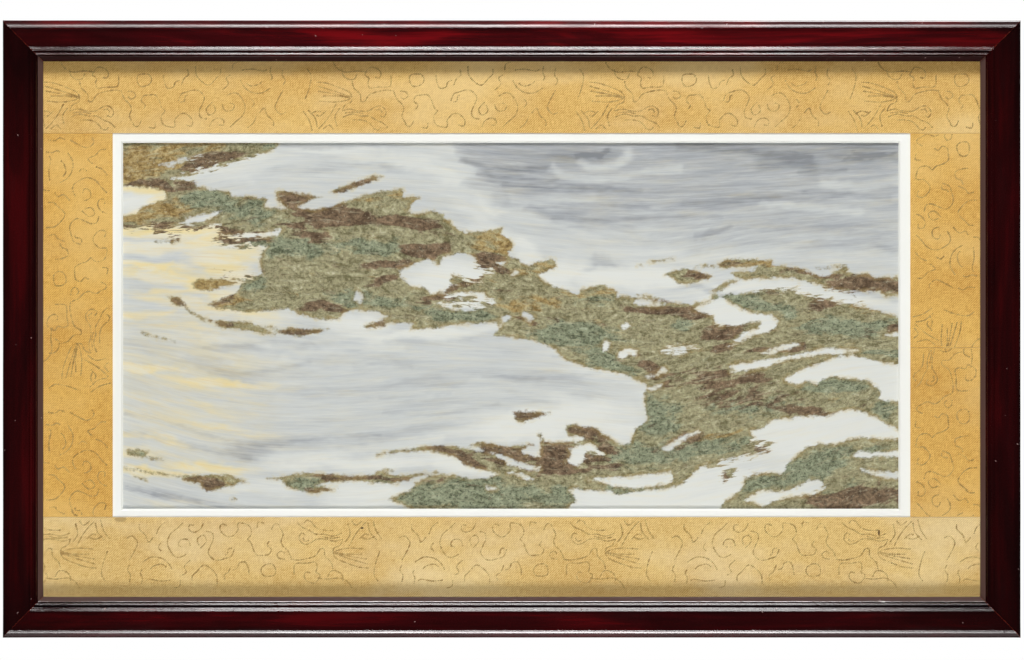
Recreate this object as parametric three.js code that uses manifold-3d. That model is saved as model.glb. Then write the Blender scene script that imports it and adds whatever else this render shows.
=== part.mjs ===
// A framed dream stone: a polished marble panel behind a white window mat with silk strips,
// in a mitred, lacquered hardwood frame with ring hangers on its back.
// Millimetres. X runs along the frame, Z is up and the face looks along -Y.
// The origin is the middle of the top rail's back face, which lies against the wall.

import * as THREE from "three";
import { mergeVertices } from "three/addons/utils/BufferGeometryUtils.js";
import Module from "manifold-3d";

const wasm = await Module();
wasm.setup();

// Driving dimensions of the frame, measured along the front outer edges
const FRAME_WIDTH = 508.5;
const FRAME_HEIGHT = 307.5;
const MITRE_GAP = 0.1;

// The moulding's members, from the outer edge to the sight edge
const EDGE_WIDTH = 1.1;
const BEAD_WIDTH = 1.7;
const COVE_WIDTH = 10;
const RIDGE_WIDTH = 1.8;
const RIDGE_GROOVE_WIDTH = 0.95;
const REED_WIDTH = 1.1;
const REED_GROOVE_WIDTH = 0.35;
const SIGHT_BEVEL_WIDTH = 2.75;

// Heights of those members in front of the rebate's lip
const EDGE_HEIGHT = 5.9;
const BEAD_SPRING = 7.05;
const BEAD_SHOULDER = 7.65;
const BEAD_CROWN = 7.95;
const COVE_START = 6.9;
const COVE_BOTTOM = 6.1;
const COVE_END = 6.5;
const RIDGE_SPRING = 6.6;
const GROOVE_FLOOR = 5.8;
const REED_SPRING = 6.5;
const BEVEL_TOP = 5.7;
const BEVEL_ROUND = 0.5;
const SIGHT_EDGE = 3.6;

// The back of the moulding
const REBATE_WIDTH = 6;
const SIDE_FLARE = 1.2;
const FOOT_HEIGHT = 7;

// The layers held in the rebate, from the back to the front
const BACK_RECESS = 2.6;
const BACKING_THICKNESS = 2.5;
const STONE_THICKNESS = 7.5;
const MAT_THICKNESS = 1.5;
const SILK_THICKNESS = 0.4;
const LAYER_GAP = 0.1;

// Clearances round the boards and round the stone
const BOARD_SIDE_PLAY = 0.5;
const BOARD_TOP_PLAY = 0.8;
const STONE_SIDE_PLAY = 0.5;
const STONE_TOP_PLAY = 0.8;
const SEAT_GAP = 0.1;

// The window in the mat, the white margin that the silk leaves and the stone behind it
const WINDOW_WIDTH = 390.4;
const WINDOW_HEIGHT = 185.2;
const WINDOW_BEVEL = 0.9;
const WINDOW_SHIFT = -0.5;
const WINDOW_RISE = 1.6;
const STONE_OVERLAP = 6;
const STONE_ARRIS = 0.6;
const MARGIN_LEFT = 4.2;
const MARGIN_RIGHT = 5;
const MARGIN_TOP = 4;
const MARGIN_BOTTOM = 3.3;
const SILK_SEAM = 0.12;
const SILK_EDGE_INSET = 1.5;
const RIGHT_SEAM_DROP = 11;

// V-nails across each mitre
const V_NAIL_LEG = 4.5;
const V_NAIL_THICKNESS = 0.6;
const V_NAIL_DEPTH = 10;
const V_NAIL_SINK = 0.3;
const V_NAIL_GAP = 0.1;
const V_NAIL_INSETS = { outer: 2.5, inner: 8.3 };

// Panel pins that hold the backing board
const PIN_DIAMETER = 1.2;
const PIN_BITE = 7;
const PIN_SHOW = 9;
const PIN_HOLE_GAP = 0.1;
const PIN_CORNER_MARGIN = 45;
const LONG_RAIL_PINS = 4;
const STILE_PINS = 3;

// Ring hangers on the backs of the stiles
const HANGER_FROM_TOP = 72;
const STRAP_WIDTH = 9;
const STRAP_SHEET = 0.8;
const STRAP_LENGTH = 24;
const STRAP_ROLL_END = THREE.MathUtils.degToRad(-115);
const SCREW_DROP = 19.2;
const SCREW_DIAMETER = 2.8;
const SCREW_LENGTH = 12;
const SCREW_HEAD_DIAMETER = 5.6;
const SCREW_HEAD_HEIGHT = 1.7;
const SCREW_SLOT_WIDTH = 0.8;
const SCREW_SLOT_DEPTH = 0.7;
const SCREW_GAP = 0.15;
const RING_WIRE = 2;
const RING_INSIDE_WIDTH = 12;
const RING_DROP = 13;
const RING_BEND = 2;
const RING_WIRE_GAP = 0.2;
const RING_BUTT_GAP = 0.4;

// How far a cutter stands out of the face that it opens
const CUTTER_PROUD = 1;

// Facets
const PIN_SIDES = 10;
const SCREW_SIDES = 20;
const WIRE_SIDES = 8;
const RING_STEPS = 44;
const ARC_SEGMENTS = 10;

// Places that follow from the dimensions above
const coveOffset = EDGE_WIDTH + BEAD_WIDTH;
const ridgeOffset = coveOffset + COVE_WIDTH;
const reedOffset = ridgeOffset + RIDGE_WIDTH + RIDGE_GROOVE_WIDTH;
const bevelOffset = reedOffset + REED_WIDTH + REED_GROOVE_WIDTH;
const railWidth = bevelOffset + SIGHT_BEVEL_WIDTH;
const rebateWall = railWidth - REBATE_WIDTH;
const backFaceMiddle = (rebateWall - SIDE_FLARE) / 2;
const backingBack = BACK_RECESS;
const backingFront = backingBack + BACKING_THICKNESS;
const stoneBack = backingFront + LAYER_GAP;
const stoneFront = stoneBack + STONE_THICKNESS;
const matBack = stoneFront + LAYER_GAP;
const matFront = matBack + MAT_THICKNESS;
const silkBack = matFront + LAYER_GAP;
const silkFront = silkBack + SILK_THICKNESS;
const lipBack = silkFront + LAYER_GAP;

// The rectangles of the boards, the window, the silk's opening and the stone, as edges in X and Z
const board = {
  left: -FRAME_WIDTH / 2 + rebateWall + BOARD_SIDE_PLAY,
  right: FRAME_WIDTH / 2 - rebateWall - BOARD_SIDE_PLAY,
  bottom: -FRAME_HEIGHT / 2 + rebateWall + SEAT_GAP,
  top: FRAME_HEIGHT / 2 - rebateWall - BOARD_TOP_PLAY,
};
const opening = {
  left: WINDOW_SHIFT - WINDOW_WIDTH / 2,
  right: WINDOW_SHIFT + WINDOW_WIDTH / 2,
  bottom: WINDOW_RISE - WINDOW_HEIGHT / 2,
  top: WINDOW_RISE + WINDOW_HEIGHT / 2,
};
const silkOpening = {
  left: opening.left - MARGIN_LEFT,
  right: opening.right + MARGIN_RIGHT,
  bottom: opening.bottom - MARGIN_BOTTOM,
  top: opening.top + MARGIN_TOP,
};
const silkOuter = {
  left: board.left + SILK_EDGE_INSET,
  right: board.right - SILK_EDGE_INSET,
  bottom: board.bottom + SILK_EDGE_INSET,
  top: board.top - SILK_EDGE_INSET,
};
const stone = {
  left: opening.left - STONE_OVERLAP,
  right: opening.right + STONE_OVERLAP,
  bottom: opening.bottom - STONE_OVERLAP,
  top: opening.top + STONE_OVERLAP,
};

// Finishes
function finish(color, roughness, metalness = 0) {
  return new THREE.MeshStandardMaterial({ color, roughness, metalness });
}

const lacqueredWood = finish(0x3a0a0c, 0.25);
const marble = finish(0xb9bab0, 0.3);
const goldSilk = finish(0xd9b568, 0.7);
const whiteBoard = finish(0xf2f1ec, 0.85);
const softwood = finish(0xb08e62, 0.9);
const backingPly = finish(0x9c7a50, 0.85);
const platedSteel = finish(0x9fa1a3, 0.4, 1);
const brassPlate = finish(0xb08d3f, 0.4, 1);

// Solids, for the pieces that need a cut
function toSolid(geometry) {
  const bare = geometry.clone();
  bare.deleteAttribute("normal");
  bare.deleteAttribute("uv");
  const merged = mergeVertices(bare, 1e-4);
  return new wasm.Manifold(
    new wasm.Mesh({
      numProp: 3,
      vertProperties: new Float32Array(merged.attributes.position.array),
      triVerts: new Uint32Array(merged.index.array),
    }),
  );
}

function toGeometry(solid) {
  const mesh = solid.getMesh();
  const geometry = new THREE.BufferGeometry();
  geometry.setAttribute("position", new THREE.BufferAttribute(mesh.vertProperties, mesh.numProp));
  geometry.setIndex(new THREE.BufferAttribute(mesh.triVerts, 1));
  const faceted = geometry.toNonIndexed();
  faceted.computeVertexNormals();
  return faceted;
}

const cut = (geometry, cutters) =>
  toGeometry(cutters.reduce((solid, cutter) => solid.subtract(toSolid(cutter)), toSolid(geometry)));

function named(name, geometry, material) {
  const mesh = new THREE.Mesh(geometry, material);
  mesh.name = name;
  return mesh;
}

// A flat board between two depths, measured forwards from the back plane
function boardMesh(name, edges, back, front, material) {
  const geometry = new THREE.BoxGeometry(edges.right - edges.left, front - back, edges.top - edges.bottom);
  const mesh = named(name, geometry, material);
  mesh.position.set((edges.left + edges.right) / 2, -(back + front) / 2, (edges.bottom + edges.top) / 2);
  return mesh;
}

// The moulding's section: x is the distance in from the outer edge, y the height above the back plane
function mouldingSection() {
  const cove = coveOffset;
  const coveMiddle = cove + COVE_WIDTH / 2;
  const ridge = ridgeOffset;
  const ridgeGroove = ridge + RIDGE_WIDTH;
  const reed = reedOffset;
  const reedGroove = reed + REED_WIDTH;
  const bevel = bevelOffset;
  const ridgeRadius = RIDGE_WIDTH / 2;
  const reedRadius = REED_WIDTH / 2;
  const section = new THREE.Shape();
  section.moveTo(-SIDE_FLARE, 0);
  section.lineTo(rebateWall, 0);
  section.lineTo(rebateWall, lipBack);
  section.lineTo(railWidth, lipBack);
  section.lineTo(railWidth, lipBack + SIGHT_EDGE);
  section.lineTo(bevel + BEVEL_ROUND, lipBack + BEVEL_TOP - BEVEL_ROUND * 0.4);
  section.quadraticCurveTo(bevel + BEVEL_ROUND * 0.6, lipBack + BEVEL_TOP, bevel, lipBack + BEVEL_TOP);
  section.lineTo(reedGroove, lipBack + GROOVE_FLOOR - 0.4);
  section.lineTo(reedGroove, lipBack + REED_SPRING);
  section.absarc(reed + reedRadius, lipBack + REED_SPRING, reedRadius, 0, Math.PI, false);
  section.lineTo(reed, lipBack + GROOVE_FLOOR);
  section.lineTo(ridgeGroove, lipBack + GROOVE_FLOOR);
  section.lineTo(ridgeGroove, lipBack + RIDGE_SPRING);
  section.absarc(ridge + ridgeRadius, lipBack + RIDGE_SPRING, ridgeRadius, 0, Math.PI, false);
  section.lineTo(ridge, lipBack + COVE_END);
  section.quadraticCurveTo((ridge + coveMiddle) / 2, lipBack + COVE_BOTTOM, coveMiddle, lipBack + COVE_BOTTOM);
  section.quadraticCurveTo((cove + coveMiddle) / 2, lipBack + COVE_BOTTOM, cove, lipBack + COVE_START);
  section.lineTo(cove, lipBack + BEAD_CROWN);
  section.quadraticCurveTo(
    EDGE_WIDTH + BEAD_WIDTH * 0.45,
    lipBack + BEAD_SHOULDER,
    EDGE_WIDTH,
    lipBack + BEAD_SPRING,
  );
  section.lineTo(0, lipBack + EDGE_HEIGHT);
  section.lineTo(-SIDE_FLARE, FOOT_HEIGHT);
  section.closePath();
  return section;
}

// A rail of the section, its outer edge on local Z = 0 and its two ends mitred at 45 degrees
function railGeometry(length) {
  const geometry = new THREE.ExtrudeGeometry(mouldingSection(), {
    depth: 1,
    bevelEnabled: false,
    curveSegments: ARC_SEGMENTS,
  });
  const points = geometry.attributes.position;
  for (let i = 0; i < points.count; i += 1) {
    const inward = points.getX(i);
    const end = 1 - 2 * points.getZ(i);
    points.setXYZ(i, end * (length / 2 - inward - MITRE_GAP), -points.getY(i), -inward);
  }
  return geometry;
}

// A V-nail between two depths in Y: legs along -X and -Z from its fold, grown all round by a gap
function vNailGeometry(back, front, grow) {
  const near = V_NAIL_THICKNESS / 2 + grow;
  const far = V_NAIL_LEG + grow;
  const outline = new THREE.Shape([
    new THREE.Vector2(near, near),
    new THREE.Vector2(-far, near),
    new THREE.Vector2(-far, -near),
    new THREE.Vector2(-near, -near),
    new THREE.Vector2(-near, -far),
    new THREE.Vector2(near, -far),
  ]);
  const geometry = new THREE.ExtrudeGeometry(outline, { depth: back - front, bevelEnabled: false });
  return geometry.rotateX(Math.PI / 2).translate(0, back, 0);
}

const vNailFront = -V_NAIL_SINK - V_NAIL_DEPTH;

// The slot that a V-nail leaves in a rail, open at the rail's back
function vNailSlot(end, length, inset) {
  const slot = vNailGeometry(CUTTER_PROUD, vNailFront - V_NAIL_GAP, V_NAIL_GAP);
  if (end < 0) slot.rotateY(-Math.PI / 2);
  return slot.translate(end * (length / 2 - inset), 0, -inset);
}

// Panel pins lie along local Z on the back of the backing board
const pinDepth = backingBack - LAYER_GAP - PIN_DIAMETER / 2;
const pinPlaces = (length, count) => {
  const span = length - 2 * (rebateWall + PIN_CORNER_MARGIN);
  return Array.from({ length: count }, (_, i) => -span / 2 + (i * span) / (count - 1));
};

function pinGeometry() {
  const radius = PIN_DIAMETER / 2;
  const reach = PIN_BITE + PIN_SHOW;
  const outline = [
    new THREE.Vector2(0, 0),
    new THREE.Vector2(radius, 0),
    new THREE.Vector2(radius, reach - PIN_DIAMETER),
    new THREE.Vector2(0, reach),
  ];
  return new THREE.LatheGeometry(outline, PIN_SIDES).rotateX(Math.PI / 2);
}

function pinHole(along) {
  const radius = PIN_DIAMETER / 2 + PIN_HOLE_GAP;
  const reach = PIN_BITE + PIN_HOLE_GAP;
  const hole = new THREE.CylinderGeometry(radius, radius, reach + CUTTER_PROUD, PIN_SIDES);
  return hole.rotateX(Math.PI / 2).translate(along, -pinDepth, -rebateWall + (reach - CUTTER_PROUD) / 2);
}

function screwHole(along) {
  const radius = SCREW_DIAMETER / 2 + SCREW_GAP;
  const reach = SCREW_LENGTH + SCREW_GAP;
  const hole = new THREE.CylinderGeometry(radius, radius, reach + CUTTER_PROUD, SCREW_SIDES);
  return hole.translate(along, -(reach - CUTTER_PROUD) / 2, -backFaceMiddle);
}

// One side of the frame: its rail, cut for its fasteners, and the pins along it
function frameSide({ name, railName, length, pins, turn, place, screwAt }) {
  const side = new THREE.Group();
  const places = pinPlaces(length, pins);
  const cutters = places.map(pinHole);
  for (const end of [-1, 1]) {
    for (const inset of Object.values(V_NAIL_INSETS)) cutters.push(vNailSlot(end, length, inset));
  }
  if (screwAt !== undefined) cutters.push(screwHole(screwAt));
  side.add(named(railName, cut(railGeometry(length), cutters), lacqueredWood));
  places.forEach((along, i) => {
    const pin = named(`panel_pin_${name}_${i + 1}`, pinGeometry(), platedSteel);
    pin.position.set(along, -pinDepth, -rebateWall - PIN_SHOW);
    side.add(pin);
  });
  side.rotation.y = turn;
  side.position.copy(place);
  return side;
}

function corner(name, x, z, turn) {
  const group = new THREE.Group();
  for (const [where, inset] of Object.entries(V_NAIL_INSETS)) {
    const geometry = vNailGeometry(-V_NAIL_SINK, vNailFront, 0);
    const nail = named(`corner_v_nail_${name}_${where}`, geometry, platedSteel);
    nail.position.set(-inset, 0, -inset);
    group.add(nail);
  }
  group.rotation.y = turn;
  group.position.set(x, 0, z);
  return group;
}

// The white window mat, its window bevelled inwards down to the stone
function windowMat() {
  const outline = new THREE.Shape([
    new THREE.Vector2(board.left, board.bottom),
    new THREE.Vector2(board.right, board.bottom),
    new THREE.Vector2(board.right, board.top),
    new THREE.Vector2(board.left, board.top),
  ]);
  outline.holes.push(
    new THREE.Path([
      new THREE.Vector2(opening.left, opening.bottom),
      new THREE.Vector2(opening.left, opening.top),
      new THREE.Vector2(opening.right, opening.top),
      new THREE.Vector2(opening.right, opening.bottom),
    ]),
  );
  const geometry = new THREE.ExtrudeGeometry(outline, { depth: MAT_THICKNESS, bevelEnabled: false });
  const points = geometry.attributes.position;
  const centre = new THREE.Vector2(WINDOW_SHIFT, WINDOW_RISE);
  const reachX = WINDOW_WIDTH / 2 + STONE_OVERLAP / 2;
  const reachZ = WINDOW_HEIGHT / 2 + STONE_OVERLAP / 2;
  for (let i = 0; i < points.count; i += 1) {
    const offX = points.getX(i) - centre.x;
    const offZ = points.getY(i) - centre.y;
    const onWindow = Math.abs(offX) < reachX && Math.abs(offZ) < reachZ;
    const atFront = points.getZ(i) > MAT_THICKNESS / 2;
    if (onWindow && !atFront) {
      points.setX(i, points.getX(i) - Math.sign(offX) * WINDOW_BEVEL);
      points.setY(i, points.getY(i) - Math.sign(offZ) * WINDOW_BEVEL);
    }
  }
  const mat = named("window_mat", geometry.rotateX(Math.PI / 2), whiteBoard);
  mat.position.y = -matBack;
  return mat;
}

// The marble panel, its edges eased by a small arris
function marblePanel() {
  const width = stone.right - stone.left - 2 * STONE_ARRIS;
  const height = stone.top - stone.bottom - 2 * STONE_ARRIS;
  const outline = new THREE.Shape([
    new THREE.Vector2(-width / 2, -height / 2),
    new THREE.Vector2(width / 2, -height / 2),
    new THREE.Vector2(width / 2, height / 2),
    new THREE.Vector2(-width / 2, height / 2),
  ]);
  const geometry = new THREE.ExtrudeGeometry(outline, {
    depth: STONE_THICKNESS - 2 * STONE_ARRIS,
    bevelEnabled: true,
    bevelThickness: STONE_ARRIS,
    bevelSize: STONE_ARRIS,
    bevelSegments: 1,
  });
  geometry.rotateX(Math.PI / 2);
  const panel = named("marble_panel", geometry, marble);
  const back = stoneBack + STONE_ARRIS;
  panel.position.set((stone.left + stone.right) / 2, -back, (stone.bottom + stone.top) / 2);
  return panel;
}

// Boards as thick as the stone fill the rebate round it and carry its weight
function packingBoards() {
  const under = stone.bottom - SEAT_GAP;
  const over = stone.top + STONE_TOP_PLAY;
  const beside = { bottom: under + SEAT_GAP, top: over - SEAT_GAP };
  const edges = {
    bottom: { ...board, top: under },
    top: { ...board, bottom: over },
    left: { ...beside, left: board.left, right: stone.left - STONE_SIDE_PLAY },
    right: { ...beside, left: stone.right + STONE_SIDE_PLAY, right: board.right },
  };
  return Object.entries(edges).map(([where, e]) =>
    boardMesh(`packing_board_${where}`, e, stoneBack, stoneFront, softwood),
  );
}

// Silk strips pasted on the mat: two along the frame, and the side ones butted between them
function silkStrips() {
  const sideTop = silkOpening.top - SILK_SEAM;
  const sideBottom = silkOpening.bottom + SILK_SEAM;
  const rightSeam = WINDOW_RISE - RIGHT_SEAM_DROP;
  const leftBand = { left: silkOuter.left, right: silkOpening.left };
  const rightBand = { left: silkOpening.right, right: silkOuter.right };
  const strips = {
    top: { ...silkOuter, bottom: silkOpening.top },
    bottom: { ...silkOuter, top: silkOpening.bottom },
    left: { ...leftBand, bottom: sideBottom, top: sideTop },
    right_upper: { ...rightBand, bottom: rightSeam + SILK_SEAM / 2, top: sideTop },
    right_lower: { ...rightBand, bottom: sideBottom, top: rightSeam - SILK_SEAM / 2 },
  };
  return Object.entries(strips).map(([where, e]) =>
    boardMesh(`silk_strip_${where}`, e, silkBack, silkFront, goldSilk),
  );
}

// The hanger's rolled eye turns round the ring's straight wire, at this distance behind the frame
const rollInside = RING_WIRE / 2 + RING_WIRE_GAP;
const rollOutside = rollInside + STRAP_SHEET;
const eyeStandoff = SEAT_GAP + rollOutside;

// The strap's side view, x being the distance behind the frame and y the height from the eye
function strapSection() {
  const face = SEAT_GAP + STRAP_SHEET;
  const section = new THREE.Shape();
  section.moveTo(SEAT_GAP, -STRAP_LENGTH);
  section.lineTo(face, -STRAP_LENGTH);
  section.lineTo(face, 0);
  section.absarc(eyeStandoff, 0, rollInside, Math.PI, STRAP_ROLL_END, true);
  section.absarc(eyeStandoff, 0, rollOutside, STRAP_ROLL_END, Math.PI, false);
  section.closePath();
  return section;
}

function hangerStrap() {
  const rolled = new THREE.ExtrudeGeometry(strapSection(), {
    depth: STRAP_WIDTH,
    bevelEnabled: false,
    curveSegments: 2 * ARC_SEGMENTS,
  });
  const points = rolled.attributes.position;
  for (let i = 0; i < points.count; i += 1) {
    points.setXYZ(i, points.getZ(i) - STRAP_WIDTH / 2, points.getX(i), points.getY(i));
  }
  const half = STRAP_WIDTH / 2;
  const outline = new THREE.Shape();
  outline.moveTo(half, rollOutside + CUTTER_PROUD);
  outline.lineTo(-half, rollOutside + CUTTER_PROUD);
  outline.lineTo(-half, half - STRAP_LENGTH);
  outline.absarc(0, half - STRAP_LENGTH, half, Math.PI, 2 * Math.PI, false);
  outline.closePath();
  const hole = new THREE.Path();
  hole.absarc(0, -SCREW_DROP, SCREW_DIAMETER / 2 + SCREW_GAP, 0, 2 * Math.PI, true);
  outline.holes.push(hole);
  const blank = new THREE.ExtrudeGeometry(outline, {
    depth: 4 * rollOutside,
    bevelEnabled: false,
    curveSegments: ARC_SEGMENTS,
  });
  blank.rotateX(Math.PI / 2).translate(0, 3 * rollOutside, 0);
  return toGeometry(toSolid(rolled).intersect(toSolid(blank)));
}

// A pan-head screw along Y, its head on the strap and its point in the wood
function hangerScrew() {
  const seat = SEAT_GAP + STRAP_SHEET + SCREW_GAP;
  const shank = SCREW_DIAMETER / 2;
  const head = SCREW_HEAD_DIAMETER / 2;
  const outline = new THREE.Path();
  outline.moveTo(0, -SCREW_LENGTH);
  outline.lineTo(shank, -SCREW_LENGTH + SCREW_DIAMETER);
  outline.lineTo(shank, seat);
  outline.lineTo(head, seat);
  outline.lineTo(head, seat + SCREW_HEAD_HEIGHT / 3);
  outline.quadraticCurveTo(head, seat + SCREW_HEAD_HEIGHT, 0, seat + SCREW_HEAD_HEIGHT);
  const turned = new THREE.LatheGeometry(outline.getPoints(ARC_SEGMENTS / 2), SCREW_SIDES);
  const floor = seat + SCREW_HEAD_HEIGHT - SCREW_SLOT_DEPTH;
  const slots = [0, Math.PI / 2].map((turn) =>
    new THREE.BoxGeometry(head, SCREW_SLOT_DEPTH * 2, SCREW_SLOT_WIDTH)
      .rotateY(turn)
      .translate(0, floor + SCREW_SLOT_DEPTH, 0),
  );
  return cut(turned, slots);
}

// The D-shaped ring of bent wire, its two ends butting inside the strap's eye
function hangerRing() {
  const half = RING_INSIDE_WIDTH / 2 + RING_WIRE / 2;
  const bowCentre = half - RING_DROP;
  const bowPull = half * 0.5523;
  const at = (x, z) => new THREE.Vector3(x, 0, z);
  const path = new THREE.CurvePath();
  path.add(new THREE.LineCurve3(at(-RING_BUTT_GAP / 2, 0), at(-half + RING_BEND, 0)));
  path.add(new THREE.QuadraticBezierCurve3(at(-half + RING_BEND, 0), at(-half, 0), at(-half, -RING_BEND)));
  path.add(new THREE.LineCurve3(at(-half, -RING_BEND), at(-half, bowCentre)));
  path.add(
    new THREE.CubicBezierCurve3(
      at(-half, bowCentre),
      at(-half, bowCentre - bowPull),
      at(-bowPull, -RING_DROP),
      at(0, -RING_DROP),
    ),
  );
  path.add(
    new THREE.CubicBezierCurve3(
      at(0, -RING_DROP),
      at(bowPull, -RING_DROP),
      at(half, bowCentre - bowPull),
      at(half, bowCentre),
    ),
  );
  path.add(new THREE.LineCurve3(at(half, bowCentre), at(half, -RING_BEND)));
  path.add(new THREE.QuadraticBezierCurve3(at(half, -RING_BEND), at(half, 0), at(half - RING_BEND, 0)));
  path.add(new THREE.LineCurve3(at(half - RING_BEND, 0), at(RING_BUTT_GAP / 2, 0)));
  const wire = new THREE.Shape();
  wire.absarc(0, 0, RING_WIRE / 2, 0, 2 * Math.PI, false);
  return new THREE.ExtrudeGeometry(wire, {
    steps: RING_STEPS,
    extrudePath: path,
    bevelEnabled: false,
    curveSegments: WIRE_SIDES / 2,
  });
}

// A hanger: the origin of its group is the height of the ring's pivot on the frame's back
const hangerHeight = FRAME_HEIGHT / 2 - HANGER_FROM_TOP;
function hanger(where, x) {
  const group = new THREE.Group();
  const ring = named(`hanger_ring_${where}`, hangerRing(), brassPlate);
  ring.position.y = eyeStandoff;
  const screw = named(`hanger_screw_${where}`, hangerScrew(), brassPlate);
  screw.position.z = -SCREW_DROP;
  group.add(named(`hanger_strap_${where}`, hangerStrap(), brassPlate), ring, screw);
  group.position.set(x, 0, hangerHeight);
  return group;
}

const halfWidth = FRAME_WIDTH / 2;
const halfHeight = FRAME_HEIGHT / 2;
const quarter = Math.PI / 2;
const screwHeight = hangerHeight - SCREW_DROP;

const assembly = new THREE.Group();
assembly.position.z = backFaceMiddle - halfHeight;
assembly.add(
  frameSide({
    name: "top",
    railName: "frame_top_rail",
    length: FRAME_WIDTH,
    pins: LONG_RAIL_PINS,
    turn: 0,
    place: new THREE.Vector3(0, 0, halfHeight),
  }),
  frameSide({
    name: "bottom",
    railName: "frame_bottom_rail",
    length: FRAME_WIDTH,
    pins: LONG_RAIL_PINS,
    turn: Math.PI,
    place: new THREE.Vector3(0, 0, -halfHeight),
  }),
  frameSide({
    name: "left",
    railName: "frame_left_stile",
    length: FRAME_HEIGHT,
    pins: STILE_PINS,
    turn: -quarter,
    place: new THREE.Vector3(-halfWidth, 0, 0),
    screwAt: screwHeight,
  }),
  frameSide({
    name: "right",
    railName: "frame_right_stile",
    length: FRAME_HEIGHT,
    pins: STILE_PINS,
    turn: quarter,
    place: new THREE.Vector3(halfWidth, 0, 0),
    screwAt: -screwHeight,
  }),
  corner("top_right", halfWidth, halfHeight, 0),
  corner("top_left", -halfWidth, halfHeight, -quarter),
  corner("bottom_left", -halfWidth, -halfHeight, Math.PI),
  corner("bottom_right", halfWidth, -halfHeight, quarter),
  boardMesh("backing_board", board, backingBack, backingFront, backingPly),
  marblePanel(),
  ...packingBoards(),
  windowMat(),
  ...silkStrips(),
  hanger("left", -halfWidth + backFaceMiddle),
  hanger("right", halfWidth - backFaceMiddle),
);

const framedStone = new THREE.Group();
framedStone.add(assembly);

export default framedStone;
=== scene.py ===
"""Looks of a framed dream stone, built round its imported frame.

A mitred hardwood frame in red-black lacquer holds gold brocade, a white window mat and a
polished marble panel whose natural figure reads as a landscape.
Metres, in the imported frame's own axes: X along the frame, Z up and the face towards -Y.
"""

import math

import bmesh
import bpy
import numpy as np
from mathutils import Matrix, Vector, geometry, noise


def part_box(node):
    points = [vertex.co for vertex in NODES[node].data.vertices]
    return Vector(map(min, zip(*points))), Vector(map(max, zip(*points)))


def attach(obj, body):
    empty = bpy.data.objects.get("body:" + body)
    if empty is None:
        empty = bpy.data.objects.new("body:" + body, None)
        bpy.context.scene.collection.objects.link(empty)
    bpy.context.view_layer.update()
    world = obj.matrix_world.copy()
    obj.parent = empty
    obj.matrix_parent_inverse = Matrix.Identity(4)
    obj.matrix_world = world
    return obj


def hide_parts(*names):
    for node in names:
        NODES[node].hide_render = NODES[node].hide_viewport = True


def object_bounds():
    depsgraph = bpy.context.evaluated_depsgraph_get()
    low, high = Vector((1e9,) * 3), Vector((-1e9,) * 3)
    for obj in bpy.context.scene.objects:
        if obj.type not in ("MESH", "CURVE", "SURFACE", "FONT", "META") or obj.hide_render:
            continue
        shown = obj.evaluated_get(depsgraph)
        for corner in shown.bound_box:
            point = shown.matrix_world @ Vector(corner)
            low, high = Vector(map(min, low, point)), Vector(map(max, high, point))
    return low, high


bl_info = {
    "name": "Framed Dream Stone",
    "version": (1, 0, 0),
    "blender": (4, 5, 0),
    "location": "View3D > Sidebar > Dream Stone",
    "description": "Lacquered frame, brocade, window mat and marble figure round a fixed frame",
    "category": "Object",
}

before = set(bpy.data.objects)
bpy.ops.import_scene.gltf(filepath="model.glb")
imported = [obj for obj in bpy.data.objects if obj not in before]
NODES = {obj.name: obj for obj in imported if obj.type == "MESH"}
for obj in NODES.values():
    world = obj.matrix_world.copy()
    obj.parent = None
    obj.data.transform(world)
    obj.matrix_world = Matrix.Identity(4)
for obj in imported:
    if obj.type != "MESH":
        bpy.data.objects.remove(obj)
CAD_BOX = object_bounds()
MM = 0.001

# The moulding's members, from the outer edge to the sight edge
EDGE_WIDTH = 1.1 * MM
BEAD_WIDTH = 1.7 * MM
COVE_WIDTH = 10 * MM
RIDGE_WIDTH = 1.8 * MM
RIDGE_GROOVE_WIDTH = 0.95 * MM
REED_WIDTH = 1.1 * MM
REED_GROOVE_WIDTH = 0.35 * MM
SIGHT_BEVEL_WIDTH = 2.75 * MM

# How far in from the outer edge each member starts
COVE_AT = EDGE_WIDTH + BEAD_WIDTH
RIDGE_AT = COVE_AT + COVE_WIDTH
RIDGE_GROOVE_AT = RIDGE_AT + RIDGE_WIDTH
REED_AT = RIDGE_GROOVE_AT + RIDGE_GROOVE_WIDTH
REED_GROOVE_AT = REED_AT + REED_WIDTH
BEVEL_AT = REED_GROOVE_AT + REED_GROOVE_WIDTH
RAIL_WIDTH = BEVEL_AT + SIGHT_BEVEL_WIDTH

# Heights of those members in front of the rebate's lip
EDGE_HEIGHT = 5.9 * MM
BEAD_SPRING = 7.05 * MM
BEAD_SHOULDER = 7.65 * MM
BEAD_CROWN = 7.95 * MM
COVE_START = 6.9 * MM
COVE_BOTTOM = 6.1 * MM
COVE_END = 6.5 * MM
RIDGE_SPRING = 6.6 * MM
GROOVE_FLOOR = 5.8 * MM
REED_GROOVE_DROP = 0.4 * MM
REED_SPRING = 6.5 * MM
BEVEL_TOP = 5.7 * MM
BEVEL_ROUND = 0.5 * MM
SIGHT_EDGE = 3.6 * MM

# The back of the moulding
FOOT_HEIGHT = 7 * MM
SIDE_FLARE = 1.2 * MM
REBATE_WIDTH = 6 * MM
LIP_GAP = 0.1 * MM

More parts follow.
